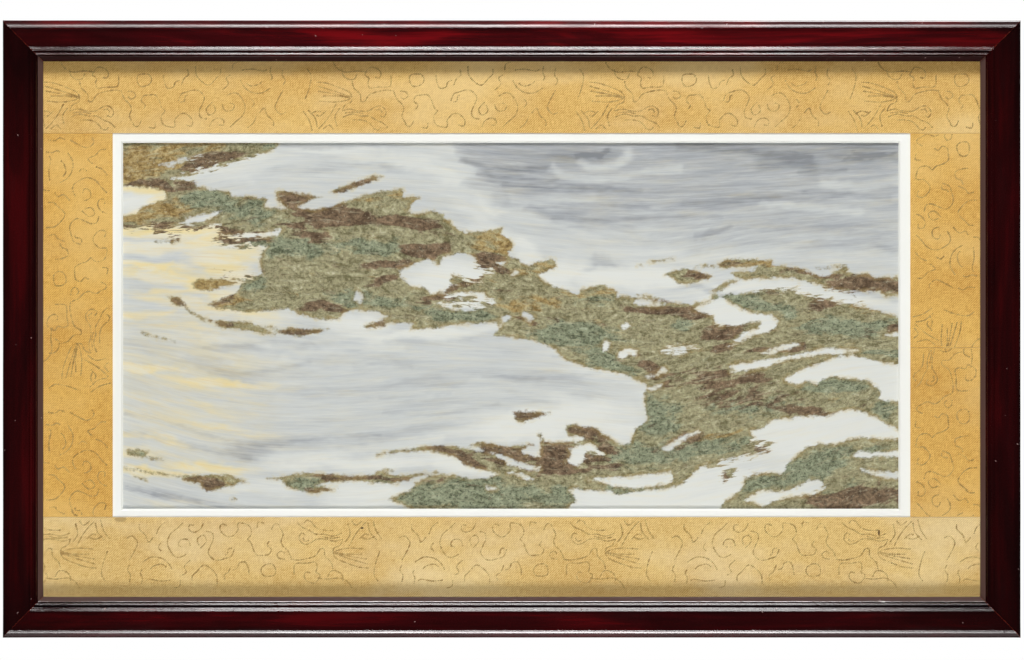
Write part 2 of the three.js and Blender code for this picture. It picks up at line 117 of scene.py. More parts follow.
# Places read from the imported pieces
STILE_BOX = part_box("frame_left_stile")
RAIL_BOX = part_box("frame_top_rail")
BOTTOM_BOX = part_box("frame_bottom_rail")
STONE_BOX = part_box("marble_panel")
HALF_WIDTH = -STILE_BOX[0].x - SIDE_FLARE
HALF_HEIGHT = (RAIL_BOX[1].z - BOTTOM_BOX[0].z) / 2 - SIDE_FLARE
CENTRE_Z = (RAIL_BOX[1].z + BOTTOM_BOX[0].z) / 2
LIP_BACK = -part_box("silk_strip_top")[0].y + LIP_GAP
FRONT_Y = RAIL_BOX[0].y


def colour(code):
    """Linear red, green, blue and alpha of a six-digit colour code."""
    parts = [int(code[i : i + 2], 16) / 255 for i in (1, 3, 5)]
    linear = [c / 12.92 if c <= 0.04045 else ((c + 0.055) / 1.055) ** 2.4 for c in parts]
    return (*linear, 1.0)


def colour_property(name, description, code):
    return bpy.props.FloatVectorProperty(
        name=name, description=description, subtype="COLOR", size=4, min=0, max=1, default=colour(code)
    )


def length_property(name, description, default):
    return bpy.props.FloatProperty(
        name=name, description=description, unit="LENGTH", precision=5, min=0, default=default
    )


def power_property(name, description, default):
    return bpy.props.FloatProperty(name=name, description=description, unit="POWER", default=default)


class LacquerLook(bpy.types.PropertyGroup):
    """Colours of the frame's lacquer and the small lengths of its finish"""

    dark: colour_property("Dark lacquer", "Colour of the thick, dark lacquer", "#3f060a")
    # This red is shown in proportion to each side's painted light, strongest on the top rail.
    red: colour_property("Red lacquer", "Colour where the lacquer is thin and glows red", "#7a0b12")
    arris: length_property("Arris", "Radius that the lacquer leaves on sharp edges", 0.16 * MM)
    ripple: length_property("Ripple", "Depth of the waves left by hand finishing", 0.05 * MM)
    mitre_gap: length_property("Mitre gap", "Half of the crack left open at each mitre", 0.03 * MM)


class SilkLook(bpy.types.PropertyGroup):
    """Colours and threads of the brocade"""

    ground: colour_property("Silk", "Colour of the satin ground", "#f2d68f")
    shade: colour_property("Silk shade", "Colour between the ground's threads", "#b4812f")
    figure: colour_property("Figure", "Colour of the woven figure's stitches", "#94743d")
    twill: length_property("Twill", "Distance between the twill's diagonals", 0.84 * MM)
    stitch: length_property("Stitch", "Distance between the figure's stitches", 0.85 * MM)
    stitch_width: length_property("Stitch width", "Width of one stitch of the figure", 0.82 * MM)


class StoneLook(bpy.types.PropertyGroup):
    """Colours of the marble and how finely its figure is held"""

    spacing: length_property("Spacing", "Distance between the points that hold the figure", 1.0 * MM)
    white: colour_property("White", "Colour of the clear calcite", "#e2e4de")
    grey: colour_property("Grey", "Colour of the darkest cloud in the calcite", "#85898d")
    ochre: colour_property("Ochre", "Iron stain along the left edge", "#f0dc98")
    olive: colour_property("Olive", "Colour of the serpentine ground", "#979170")
    green: colour_property("Green", "Colour of the greener ground", "#858e74")
    brown: colour_property("Brown", "Colour of the browner ground", "#6f5a46")


class StudioLook(bpy.types.PropertyGroup):
    """The floor, the lamps and the camera"""

    floor: colour_property("Floor", "Colour of the pale floor", "#f6f6f4")
    distance: length_property("Camera distance", "From the frame's front to the camera", 4.0)
    width: length_property("Picture width", "What the picture takes in at the frame's front", 0.512)
    lamp_distance: length_property("Lamp distance", "From the picture's middle to each lamp", 1.7)
    lamp_angle: bpy.props.FloatProperty(
        name="Lamp angle",
        description="Angle between the lamps' light and the picture's plane",
        subtype="ANGLE",
        default=math.radians(32.5),
    )
    upper_power: power_property("Upper lamp", "Power of the lamp above", 27.5)
    lower_power: power_property("Lower lamp", "Power of the lamp below", 19.0)


class Net:
    """A node tree, whose methods each add a node and most return its output socket."""

    def __init__(self, tree):
        self.nodes = tree.nodes
        self.links = tree.links

    def feed(self, socket, value):
        """Links a socket, or sets it to a number, a vector, a colour or a colour code."""
        if isinstance(value, bpy.types.NodeSocket):
            self.links.new(value, socket)
        else:
            socket.default_value = colour(value) if isinstance(value, str) else value

    def node(self, kind, inputs=(), **settings):
        """A node with its settings and inputs, which are pairs or a dictionary."""
        made = self.nodes.new("ShaderNode" + kind)
        for setting, value in settings.items():
            setattr(made, setting, value)
        for socket, value in dict(inputs).items():
            self.feed(made.inputs[socket], value)
        return made

    def maths(self, operation, *values):
        return self.node("Math", enumerate(values), operation=operation).outputs[0]

    def sum(self, a, b):
        return self.maths("ADD", a, b)

    def times(self, a, b):
        return self.maths("MULTIPLY", a, b)

    def larger(self, a, b):
        return self.maths("MAXIMUM", a, b)

    def scaled(self, value, gain, offset=0.0):
        """value * gain + offset."""
        return self.maths("MULTIPLY_ADD", value, gain, offset)

    def swing(self, value, reach):
        """A value from 0 to 1, spread over the given reach with its middle at 0."""
        return self.scaled(value, reach, -reach / 2)

    def inverse(self, value, share=1.0):
        """1 less a share of the value."""
        return self.scaled(value, -share, 1.0)

    def step(self, value, low, high):
        """0 below low, 1 above high and smooth between; falls instead if low is the higher."""
        if low > high:
            return self.inverse(self.step(value, high, low))
        inputs = {"Value": value, "From Min": low, "From Max": high}
        return self.node("MapRange", inputs, interpolation_type="SMOOTHSTEP").outputs["Result"]


class Paint(Net):
    """One procedural material, made of nodes on its way to the shader."""

    def __init__(self, name, **finish):
        self.material = bpy.data.materials.new(name)
        self.material.use_nodes = True
        super().__init__(self.material.node_tree)
        self.finish(**finish)

    def finish(self, **inputs):
        """Feeds the shader's sockets, with an underscore for each space in their names."""
        shader = self.nodes["Principled BSDF"]
        for socket, value in inputs.items():
            self.feed(shader.inputs[socket.replace("_", " ")], value)
        return self.material

    def place(self):
        return self.node("TexCoord").outputs["Object"]

    def attribute(self, name):
        return self.node("Attribute", attribute_name=name).outputs["Fac"]

    def mapped(self, vector, scale=(1, 1, 1), rotation=(0, 0, 0), location=(0, 0, 0)):
        inputs = {"Vector": vector, "Scale": scale, "Rotation": rotation, "Location": location}
        return self.node("Mapping", inputs).outputs["Vector"]

    def noise(self, vector, scale, detail=4.0, roughness=0.55, distortion=0.0):
        inputs = {"Scale": scale, "Detail": detail, "Roughness": roughness, "Distortion": distortion}
        return self.node("TexNoise", {"Vector": vector, **inputs}).outputs["Fac"]

    def drawn(self, vector, scale, detail=4.0, roughness=0.55, distortion=0.0):
        """Noise with its own scale along each axis."""
        return self.noise(self.mapped(vector, scale), 1.0, detail, roughness, distortion)

    def bands(self, vector, direction, scale, distortion, detail, detail_scale):
        inputs = {"Scale": scale, "Distortion": distortion, "Detail": detail, "Detail Scale": detail_scale}
        settings = {"wave_type": "BANDS", "wave_profile": "SIN", "bands_direction": direction}
        return self.node("TexWave", {"Vector": vector, **inputs}, **settings).outputs["Fac"]

    def cells(self, vector, scale):
        return self.node("TexVoronoi", {"Vector": vector, "Scale": scale})

    def mix(self, factor, a, b, blend="MIX"):
        inputs = {0: factor, 6: a, 7: b}
        return self.node("Mix", inputs, data_type="RGBA", blend_type=blend, clamp_factor=True).outputs[2]

    def over(self, base, shade, mask, strength):
        """The base with a shade laid over it at the given strength where the mask says."""
        return self.mix(self.scaled(mask, strength), base, shade)

    def ramp(self, factor, *stops):
        made = self.node("ValToRGB", {"Fac": factor})
        points = made.color_ramp.elements
        while len(points) < len(stops):
            points.new(1.0)
        for point, (position, shade) in zip(points, stops):
            point.position = position
            point.color = colour(shade) if isinstance(shade, str) else shade
        return made.outputs["Color"]

    def bump(self, height, depth, normal=None):
        inputs = {"Height": height, "Distance": depth}
        if normal is not None:
            inputs["Normal"] = normal
        return self.node("Bump", inputs).outputs["Normal"]


def new_object(name, data):
    made = bpy.data.objects.new(name, data)
    bpy.context.scene.collection.objects.link(made)
    return made


def new_mesh(name, shape):
    """Turns a bmesh into a mesh."""
    mesh = bpy.data.meshes.new(name)
    shape.to_mesh(mesh)
    shape.free()
    return mesh


def new_piece(name, shape, material, smooth_below=None):
    """Turns a bmesh into a finished piece that rides on the frame."""
    mesh = new_mesh(name, shape)
    mesh.materials.append(material)
    piece = new_object(name, mesh)
    if smooth_below is not None:
        mesh.polygons.foreach_set("use_smooth", [True] * len(mesh.polygons))
        mesh.set_sharp_from_angle(angle=smooth_below)
    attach(piece, "frame")
    return piece


def paint_node(name, material):
    """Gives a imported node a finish, with its shape as it is."""
    data = NODES[name].data
    data.materials.clear()
    data.materials.append(material)


def add_point_values(mesh, name, values):
    """Stores one number for each of a mesh's points."""
    layer = mesh.attributes.new(name, "FLOAT", "POINT")
    layer.data.foreach_set("value", np.asarray(values, np.float32))


def front_grid(low, high, spacing):
    """A grid over a box's front face, with its points about the given spacing apart."""
    size = high - low
    middle = (low + high) / 2
    shape = bmesh.new()
    bmesh.ops.create_grid(
        shape,
        x_segments=round(size.x / spacing),
        y_segments=round(size.z / spacing),
        size=0.5,
        matrix=Matrix.Rotation(math.pi / 2, 4, "X"),
    )
    bmesh.ops.scale(shape, vec=(size.x, 1, size.z), verts=shape.verts[:])
    bmesh.ops.translate(shape, vec=(middle.x, low.y, middle.z), verts=shape.verts[:])
    return shape


def new_points(grown):
    """The points that an extrusion added."""
    return [g for g in grown["geom"] if isinstance(g, bmesh.types.BMVert)]


# The lacquered frame

ARC_STEPS = 12
RAIL_STEP = 4 * MM
SHARP_CORNER = math.radians(28)
SMOOTH_BELOW = math.radians(32)
RIPPLE_LENGTH = 26 * MM
RIPPLE_ACROSS = 7 * MM
RIPPLE_FADE = 6 * MM
DEPTH_IN_MAP = 0.35
SLOT_PLAY = 0.12 * MM
SLOT_TOP = 1 * MM
SLOT_PROUD = 2 * MM

# Where the rebate's stained walls and the back face start, and how finely a member is told from the next
BACK_SKIN = 0.3 * MM
REBATE_SIDE = 13 * MM
HAIR = 0.01 * MM
BEAD_MARGIN = 0.1 * MM
BEVEL_MARGIN = 0.2 * MM


def arc(centre_x, centre_y, radius):
    """Half a turn over the top, from the inner side to the outer side."""
    turns = [math.pi * i / ARC_STEPS for i in range(ARC_STEPS + 1)]
    return [Vector((centre_x + radius * math.cos(t), centre_y + radius * math.sin(t))) for t in turns]


def bend(start, pull, end, steps=ARC_STEPS):
    """A quadratic curve from one point to another, without its first point."""
    start, pull, end = Vector(start), Vector(pull), Vector(end)
    turns = [i / steps for i in range(1, steps + 1)]
    return [start.lerp(pull, t).lerp(pull.lerp(end, t), t) for t in turns]


def moulding_section():
    """The moulding's outline: x is the distance in from the outer edge, y that in front of the back."""
    rebate = RAIL_WIDTH - REBATE_WIDTH
    cove_low = LIP_BACK + COVE_BOTTOM
    floor = LIP_BACK + GROOVE_FLOOR
    bevel_top = LIP_BACK + BEVEL_TOP
    bevel_turn = (BEVEL_AT + BEVEL_ROUND, bevel_top - BEVEL_ROUND * 0.4)
    outline = [(-SIDE_FLARE, 0), (rebate, 0), (rebate, LIP_BACK), (RAIL_WIDTH, LIP_BACK)]
    outline += [(RAIL_WIDTH, LIP_BACK + SIGHT_EDGE), bevel_turn]
    outline += bend(bevel_turn, (BEVEL_AT + BEVEL_ROUND * 0.6, bevel_top), (BEVEL_AT, bevel_top), 4)
    outline += [(REED_GROOVE_AT, floor - REED_GROOVE_DROP)]
    outline += arc(REED_AT + REED_WIDTH / 2, LIP_BACK + REED_SPRING, REED_WIDTH / 2)
    outline += [(REED_AT, floor), (RIDGE_GROOVE_AT, floor)]
    outline += arc(RIDGE_AT + RIDGE_WIDTH / 2, LIP_BACK + RIDGE_SPRING, RIDGE_WIDTH / 2)
    rise = (RIDGE_AT, LIP_BACK + COVE_END)
    middle = (COVE_AT + COVE_WIDTH / 2, cove_low)
    outline += [rise, *bend(rise, (RIDGE_AT - COVE_WIDTH / 4, cove_low), middle)]
    outline += bend(middle, (COVE_AT + COVE_WIDTH / 4, cove_low), (COVE_AT, LIP_BACK + COVE_START))
    crown = (COVE_AT, LIP_BACK + BEAD_CROWN)
    shoulder = (EDGE_WIDTH + BEAD_WIDTH * 0.45, LIP_BACK + BEAD_SHOULDER)
    outline += [crown, *bend(crown, shoulder, (EDGE_WIDTH, LIP_BACK + BEAD_SPRING))]
    outline += [(0, LIP_BACK + EDGE_HEIGHT), (-SIDE_FLARE, FOOT_HEIGHT)]
    return [Vector(p) for p in outline]


def rail_shape(length, look):
    """A rail of the section in its own axes: x along it, y towards the back and z = -distance in."""
    shape = bmesh.new()
    corners = [shape.verts.new((0, -p.y, -p.x)) for p in moulding_section()]
    shape.faces.new(corners)
    bmesh.ops.bevel(
        shape,
        geom=[v for v in corners if v.calc_edge_angle(0) > SHARP_CORNER],
        offset=look.arris,
        offset_type="OFFSET",
        segments=2,
        profile=0.5,
        affect="VERTICES",
        material=-1,
        clamp_overlap=True,
    )
    steps = round(length / RAIL_STEP)
    bmesh.ops.spin(
        shape,
        geom=shape.faces[:] + shape.edges[:] + shape.verts[:],
        dvec=(length / steps, 0, 0),
        axis=(1, 0, 0),
        cent=(0, 0, 0),
        angle=0,
        steps=steps,
        use_duplicate=False,
    )
    bmesh.ops.recalc_face_normals(shape, faces=shape.faces[:])
    return shape


def add_rail_uv(shape, shift):
    """A map in metres, u along the rail and v round its section, for patterns that follow the rail."""
    layer = shape.loops.layers.uv.new("along")
    for face in shape.faces:
        for loop in face.loops:
            place = loop.vert.co
            loop[layer].uv = (place.x + shift, place.y * DEPTH_IN_MAP - place.z)


def mitre_and_ripple(shape, length, cut, ripple, seed):
    """Slants both ends to the mitre, then sinks the surface in slow waves, as hand finishing leaves it."""
    for vert in shape.verts:
        share = 2 * vert.co.x / length - 1
        vert.co.x = share * (cut + vert.co.z)
    shape.normal_update()
    sinks = []
    for vert in shape.verts:
        at = Vector((vert.co.x / RIPPLE_LENGTH, vert.co.z / RIPPLE_ACROSS, seed))
        away = min(1.0, (cut + vert.co.z - abs(vert.co.x)) / RIPPLE_FADE)
        in_front = 1.0 if vert.co.y < -FOOT_HEIGHT else 0.0
        sinks.append(ripple * (noise.noise(at) - 1) * away * in_front)
    for vert, sink in zip(shape.verts, sinks):
        vert.co += vert.normal * sink


def lacquer(look):
    """Red-black lacquer, glossy with small nibs and dents; painted light in its colour leaves the top rail
    red and lays painted shade on the other sides and towards the mitres.
    """
    paint = Paint("red_black_lacquer", Roughness=0.5, Specular_IOR_Level=0.0)
    along = paint.node("UVMap", uv_map="along").outputs["UV"]
    crack, glow, bevel = (paint.attribute(name) for name in ("mitre", "glow", "bevel"))
    back, rubbed = (paint.attribute(name) for name in ("back", "rubbed"))

    def spots(pitch, shift, edge, middle, channel, low, high):
        """Small round spots in some of the cells of a scatter."""
        cells = paint.cells(paint.mapped(along, (pitch, pitch, 1), location=shift), 1.0)
        spot = paint.step(cells.outputs["Distance"], edge, middle)
        chance = paint.node("SeparateColor", {0: cells.outputs["Color"]}).outputs[channel]
        return paint.times(spot, paint.step(chance, low, high))

    # Clouded colour with painted light, red on the lit top rail and painted shade on the other sides and
    # deepening towards the mitres, bare wood in the mitres' cracks and dust in the finish
    patches = paint.drawn(along, (9, 70, 1), 4.0, 0.6, 0.8)
    tone = paint.sum(patches, paint.swing(paint.drawn(along, (26, 620, 1), 3.0), 0.36))
    # Painted light: the red patches show as far as each side's painted light (glow) lets them, most on the
    # top rail.
    base = paint.mix(paint.times(paint.step(tone, 0.46, 0.74), glow), look.dark, look.red)
    base = paint.over(base, "#230305", paint.step(tone, 0.5, 0.3), 0.55)
    # Painted shade: near-black laid over the dimmer sides by their painted light, deepening towards the
    # mitres.
    to_corner = paint.step(paint.sum(crack, paint.swing(patches, 60 * MM)), 0.0, 80 * MM)
    depth = paint.inverse(paint.times(glow, paint.scaled(to_corner, 0.45, 0.55)))
    base = paint.mix(depth, base, "#020000")
    # Painted shade and reflection on the sight bevel: near-black painted shade on the top rail, a painted
    # brown-grey reflection on the other sides.
    shaded = paint.step(glow, 0.7, 0.9)
    base = paint.over(base, paint.mix(shaded, "#5a433d", "#240c09"), bevel, 0.9)
    fray = paint.scaled(paint.drawn(along, (900, 900, 1), 2.0), 0.6 * MM, -0.25 * MM)
    base = paint.over(base, "#84301f", paint.step(paint.sum(crack, fray), 0.2 * MM, 0.05 * MM), 0.75)
    base = paint.over(base, "#b79a96", spots(160, (3, 7, 0), 0.07, 0.03, 1, 0.72, 0.76), 0.6)
    stain = paint.mix(paint.drawn(along, (12, 700, 1), 6.0, 0.7), "#1f0d08", "#4a2618")
    base = paint.mix(back, base, stain)

    # Peel, dents and nibs, and a gloss that is rubbed dull on the bead and worn off the shaded bevel
    dents = paint.step(paint.drawn(along, (260, 800, 1), 3.0, 0.6), 0.6, 0.74)
    normal = paint.bump(paint.drawn(along, (420, 620, 1), 2.0), 0.012 * MM)
    normal = paint.bump(paint.inverse(dents), 0.02 * MM, normal)
    normal = paint.bump(spots(110, (0, 0, 0), 0.09, 0.02, 0, 0.6, 0.65), 0.08 * MM, normal)
    fresh = paint.times(paint.inverse(back), paint.inverse(rubbed, 0.6))
    fresh = paint.times(fresh, paint.inverse(paint.times(bevel, shaded), 0.9))
    hazy = paint.step(paint.drawn(along, (30, 160, 1), 3.0), 0.45, 0.7)
    dull = paint.sum(paint.scaled(hazy, 0.08, 0.08), paint.scaled(rubbed, 0.2))
    coat = {"Coat_Weight": fresh, "Coat_Roughness": dull, "Coat_IOR": 1.58, "Coat_Normal": normal}
    return paint.finish(Base_Color=base, Normal=normal, **coat)


def v_nail_cutter(node):
    """A V-nail's slot: the nail grown a little and carried out through the frame's back."""
    shape = bmesh.new()
    shape.from_mesh(NODES[node].data)
    bmesh.ops.remove_doubles(shape, verts=shape.verts[:], dist=0.001 * MM)
    shape.normal_update()
    back = max(v.co.y for v in shape.verts)
    for vert in shape.verts:
        vert.co += vert.normal * SLOT_PLAY
        if vert.co.y > back - SLOT_TOP:
            vert.co.y += SLOT_PROUD
    return new_object("slot_" + node, new_mesh("slot_" + node, shape))


def cut_slots(piece, nails):
    """Cuts the V-nails' slots into a rail."""
    cutters = [v_nail_cutter(nail) for nail in nails]
    for cutter in cutters:
        cut = piece.modifiers.new("slot", "BOOLEAN")
        cut.operation = "DIFFERENCE"
        cut.solver = "EXACT"
        cut.object = cutter
    graph = bpy.context.evaluated_depsgraph_get()
    cut_mesh = bpy.data.meshes.new_from_object(piece.evaluated_get(graph))
    piece.modifiers.clear()
    piece.data = cut_mesh
    for cutter in cutters:
        bpy.data.objects.remove(cutter)


def add_side_values(mesh, to_side, cut, glow, rubbed):
    """Tells the lacquer how near its mitre each point is, which lie on the back, lip and bevel, and its
    side's share of painted light.
    """
    values = {"mitre": [], "back": [], "rubbed": [], "bevel": [], "glow": []}
    for vertex in mesh.vertices:
        x, y, z = to_side @ vertex.co
        on_back = y > -BACK_SKIN or (z < -REBATE_SIDE and y > HAIR - LIP_BACK)
        values["mitre"].append(cut + z - abs(x))
        values["back"].append(1.0 if on_back else 0.0)
        values["rubbed"].append(rubbed if -z < COVE_AT + BEAD_MARGIN else 0.0)
        values["bevel"].append(1.0 if -z > BEVEL_AT + BEVEL_MARGIN else 0.0)
        values["glow"].append(glow)
    for name, numbers in values.items():
        add_point_values(mesh, name, numbers)


# Each side's length, turn and place, its share of painted light (red where high, painted shade where low)
# and how far its bead is rubbed
SIDES = {
    "top_rail": (2 * HALF_WIDTH, 0, (0, HALF_HEIGHT), 0.92, 1.0),
    "bottom_rail": (2 * HALF_WIDTH, math.pi, (0, -HALF_HEIGHT), 0.54, 0.7),
    "left_stile": (2 * HALF_HEIGHT, -math.pi / 2, (-HALF_WIDTH, 0), 0.4, 0.5),
    "right_stile": (2 * HALF_HEIGHT, math.pi / 2, (HALF_WIDTH, 0), 0.4, 0.5),
}


class DREAMSTONE_OT_frame(bpy.types.Operator):
    """Build the four mitred, lacquered sides of the frame"""

    bl_idname = "dreamstone.frame"
    bl_label = "Lacquered frame"

    def execute(self, context):
        look = context.scene.dreamstone_lacquer
        material = lacquer(look)
        for seed, (side, (length, turn, (x, z), glow, rubbed)) in enumerate(SIDES.items()):
            cut = length / 2 - look.mitre_gap
            shape = rail_shape(length, look)
            add_rail_uv(shape, seed)
            mitre_and_ripple(shape, length, cut, look.ripple, seed * 7.3)
            place = Matrix.Translation((x, 0, CENTRE_Z + z)) @ Matrix.Rotation(turn, 4, "Y")
            shape.transform(place)
            piece = new_piece(f"lacquered_{side}", shape, material, SMOOTH_BELOW)
            edge = side.split("_")[0]
            cut_slots(piece, [n for n in NODES if n.startswith("corner_v_nail") and edge in n])
            add_side_values(piece.data, place.inverted(), cut, glow, rubbed)
            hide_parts(f"frame_{side}")
        return {"FINISHED"}


# The brocade

SILK_GRID = 4 * MM
SILK_PUCKER = 0.05 * MM
PUCKERS_PER_METRE = 70
STITCH_LIFT = 0.02 * MM
STITCH_HEIGHT = 0.05 * MM
STITCH_MARGIN = 0.5 * MM
STITCH_FOOT = 0.62
STITCH_TOP = 0.2
STITCH_FLAT = 0.62
UNEVEN_PER_METRE = 900
STITCH_UNEVEN = 0.8
TWILL_SLANT = math.radians(-45)

# The length of a wave texture's bands at a scale of 1
BAND_LENGTH = 0.314

# Where the silk is punctured, slit or smudged: across, up from the middle, half width, half height, shade
SILK_WEAR = [
    (-75 * MM, -99.7 * MM, 0.9 * MM, 0.6 * MM, "#5b4423"),
    (184 * MM, -102 * MM, 0.6 * MM, 1.6 * MM, "#6b5026"),
    (-196 * MM, -95 * MM, 3.2 * MM, 1.8 * MM, "#b99a62"),
]

# The figure repeats along a strip: half millimetres along it and up from the window's side
REPEAT_UNIT = 0.5 * MM
REPEAT = 273
CLOUDS = [
    [(42, 71), (46, 65), (54, 61), (66, 62), (76, 61)],
    [(51, 64), (52, 58), (57, 54), (63, 54), (66, 59)],
    [(76, 63), (74, 58), (78, 55), (77, 50), (79, 45), (87, 46), (99, 47), (100, 58)],
    [(76, 63), (80, 66), (87, 64), (90, 59), (88, 55), (84, 56)],
    [(61, 52), (63, 45), (69, 39), (70, 32), (74, 32), (78, 38), (85, 41), (96, 43), (103, 42)],
    [(103, 41), (106, 34), (111, 29), (113, 24), (111, 17), (114, 11), (116, 7), (120, 7), (123, 13)],
    [(109, 42), (115, 41), (117, 37), (113, 34), (110, 36)],
    [(125, 24), (127, 28), (123, 32), (125, 37), (130, 38), (137, 38), (141, 32), (143, 26), (147, 22)],
    [(147, 22), (143, 17), (144, 10), (148, 7), (156, 6), (156, 13)],
    [(130, 59), (123, 59), (119, 57), (119, 51), (122, 47), (127, 47), (132, 50), (133, 55), (130, 59)],
    [(145, 58), (146, 51), (149, 45), (155, 46), (157, 51), (162, 53)],
    [
        (160, 32), (163, 39), (168, 41), (175, 43), (181, 42), (186, 36), (184, 29), (181, 22),
        (182, 16), (188, 14),
    ],
    [(162, 31), (166, 32), (167, 37), (170, 38)],
    [(204, 29), (205, 25), (208, 22), (214, 23), (216, 28), (212, 30)],
    [(208, 37), (214, 40), (220, 39), (225, 32), (227, 25), (224, 17), (217, 11), (212, 6)],
    [(191, 6), (194, 12), (200, 15), (205, 13), (205, 8), (201, 8)],
    [(241, 20), (246, 25), (249, 18), (255, 12), (255, 6)],
    [(265, 43), (259, 32), (257, 25), (262, 19), (268, 21)],
    [(222, 53), (226, 46), (233, 41), (243, 40), (252, 45)],
    [(224, 63), (234, 64), (245, 62), (249, 64)],
    [(228, 50), (233, 47), (241, 49), (244, 52)],
    [(253, 67), (252, 61), (254, 56), (252, 52)],
    [(177, 67), (178, 58), (184, 51), (191, 48), (198, 55), (202, 59), (202, 65)],
    [(156, 13), (162, 19), (168, 19), (174, 13), (173, 7), (168, 8)],
    [(238, 17), (235, 10), (229, 5)],
    [(204, 43), (210, 49), (208, 55), (212, 58)],
    [(214, 63), (215, 69), (221, 71)],
    [(14, 34), (18, 45), (20, 57), (16, 64)],
    [(265, 65), (264, 58), (267, 53), (265, 48)],
    [(130, 6), (136, 5), (137, 10)],
    [(163, 48), (166, 55), (170, 58), (169, 64)],
    [(194, 31), (188, 24), (191, 18), (197, 22), (195, 29)],
    [(233, 34), (236, 30), (233, 25)],
    [(90, 6), (87, 3), (82, 5)],
]
CRANE = [
    [(25, 51), (35, 50), (47, 46), (58, 41), (61, 36)],
    [(26, 47), (40, 43), (52, 39), (61, 36)],
    [(27, 42), (44, 39), (59, 36)],
    [(32, 37), (47, 37), (60, 35)],
    [(28, 32), (44, 31), (56, 33), (61, 36)],
    [(61, 36), (60, 31), (54, 28), (51, 22)],
    [(51, 22), (59, 24), (68, 22), (77, 22), (84, 26), (90, 27), (95, 22), (93, 16), (88, 18)],
    [(52, 16), (61, 19), (70, 17), (78, 17), (85, 13), (92, 10), (97, 5)],
    [(54, 20), (64, 21), (73, 19)],
    [(85, 23), (89, 24), (91, 21)],
    [(45, 29), (39, 18), (33, 10), (27, 4)],
    [(49, 25), (44, 17), (46, 7)],
    [(12, 22), (18, 13), (21, 3)],
    [(17, 23), (24, 15), (26, 6)],
    [(35, 22), (29, 17), (25, 18)],
    [(19, 19), (26, 22), (33, 20)],
    [(32, 4), (38, 8), (42, 4)],
    [(61, 13), (70, 13), (77, 11), (82, 6)],
]


class Strip:
    """One silk strip: its window side's run, the way the figure climbs, its start and its depth of gold."""

    def __init__(self, name, along, away, start, gilt):
        self.name = name
        self.low, self.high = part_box("silk_strip_" + name)
        self.along = Vector(along)
        self.away = Vector(away)
        self.start = start
        self.gilt = gilt

    def corner(self):
        """The strip's corner that the figure is measured from."""
        pick = self.along + self.away
        x = self.low.x if pick.x > 0 else self.high.x
        z = self.low.z if pick.z > 0 else self.high.z
        return Vector((x, self.low.y, z))

    def flat_size(self):
        size = self.high - self.low
        return size.x, size.z


STRIPS = [
    Strip("top", (1, 0, 0), (0, 0, 1), -290, 0.5),
    Strip("bottom", (-1, 0, 0), (0, 0, -1), -224, 0.0),
    Strip("left", (0, 0, 1), (-1, 0, 0), -160, 1.0),
    Strip("right_upper", (0, 0, -1), (1, 0, 0), -110, 0.9),
    Strip("right_lower", (0, 0, -1), (1, 0, 0), -330, 0.9),
]


def smooth_run(points, spacing):
    """Points at an even spacing along a smooth curve through the given ones."""
    knots = [Vector(p).to_3d() for p in points]
    line = []
    for i in range(len(knots) - 1):
        before = knots[max(i - 1, 0)]
        after = knots[min(i + 2, len(knots) - 1)]
        first = knots[i] + (knots[i + 1] - before) / 6
        second = knots[i + 1] - (after - knots[i]) / 6
        line += geometry.interpolate_bezier(knots[i], first, second, knots[i + 1], 8)[:-1]
    line.append(knots[-1])
    walked = 0.0
    target = spacing / 2
    run = []
    for a, b in zip(line, line[1:]):
        piece = (b - a).length
        while piece > 0 and walked + piece >= target:
            run.append(a.lerp(b, (target - walked) / piece).to_2d())
            target += spacing
        walked += piece
    return run


def silk_shape(low, high):
    """A strip of silk as a thin sheet with the faint puckers that paste leaves."""
    shape = front_grid(low, high, SILK_GRID)
    for vert in shape.verts:
        lift = noise.noise(Vector((vert.co.x, 0, vert.co.z)) * PUCKERS_PER_METRE)
        vert.co.y += SILK_PUCKER * (lift + 1) / 2
    grown = bmesh.ops.extrude_face_region(shape, geom=shape.faces[:], use_keep_orig=True)
    for vert in new_points(grown):
        vert.co.y = high.y
    bmesh.ops.recalc_face_normals(shape, faces=shape.faces[:])
    return shape


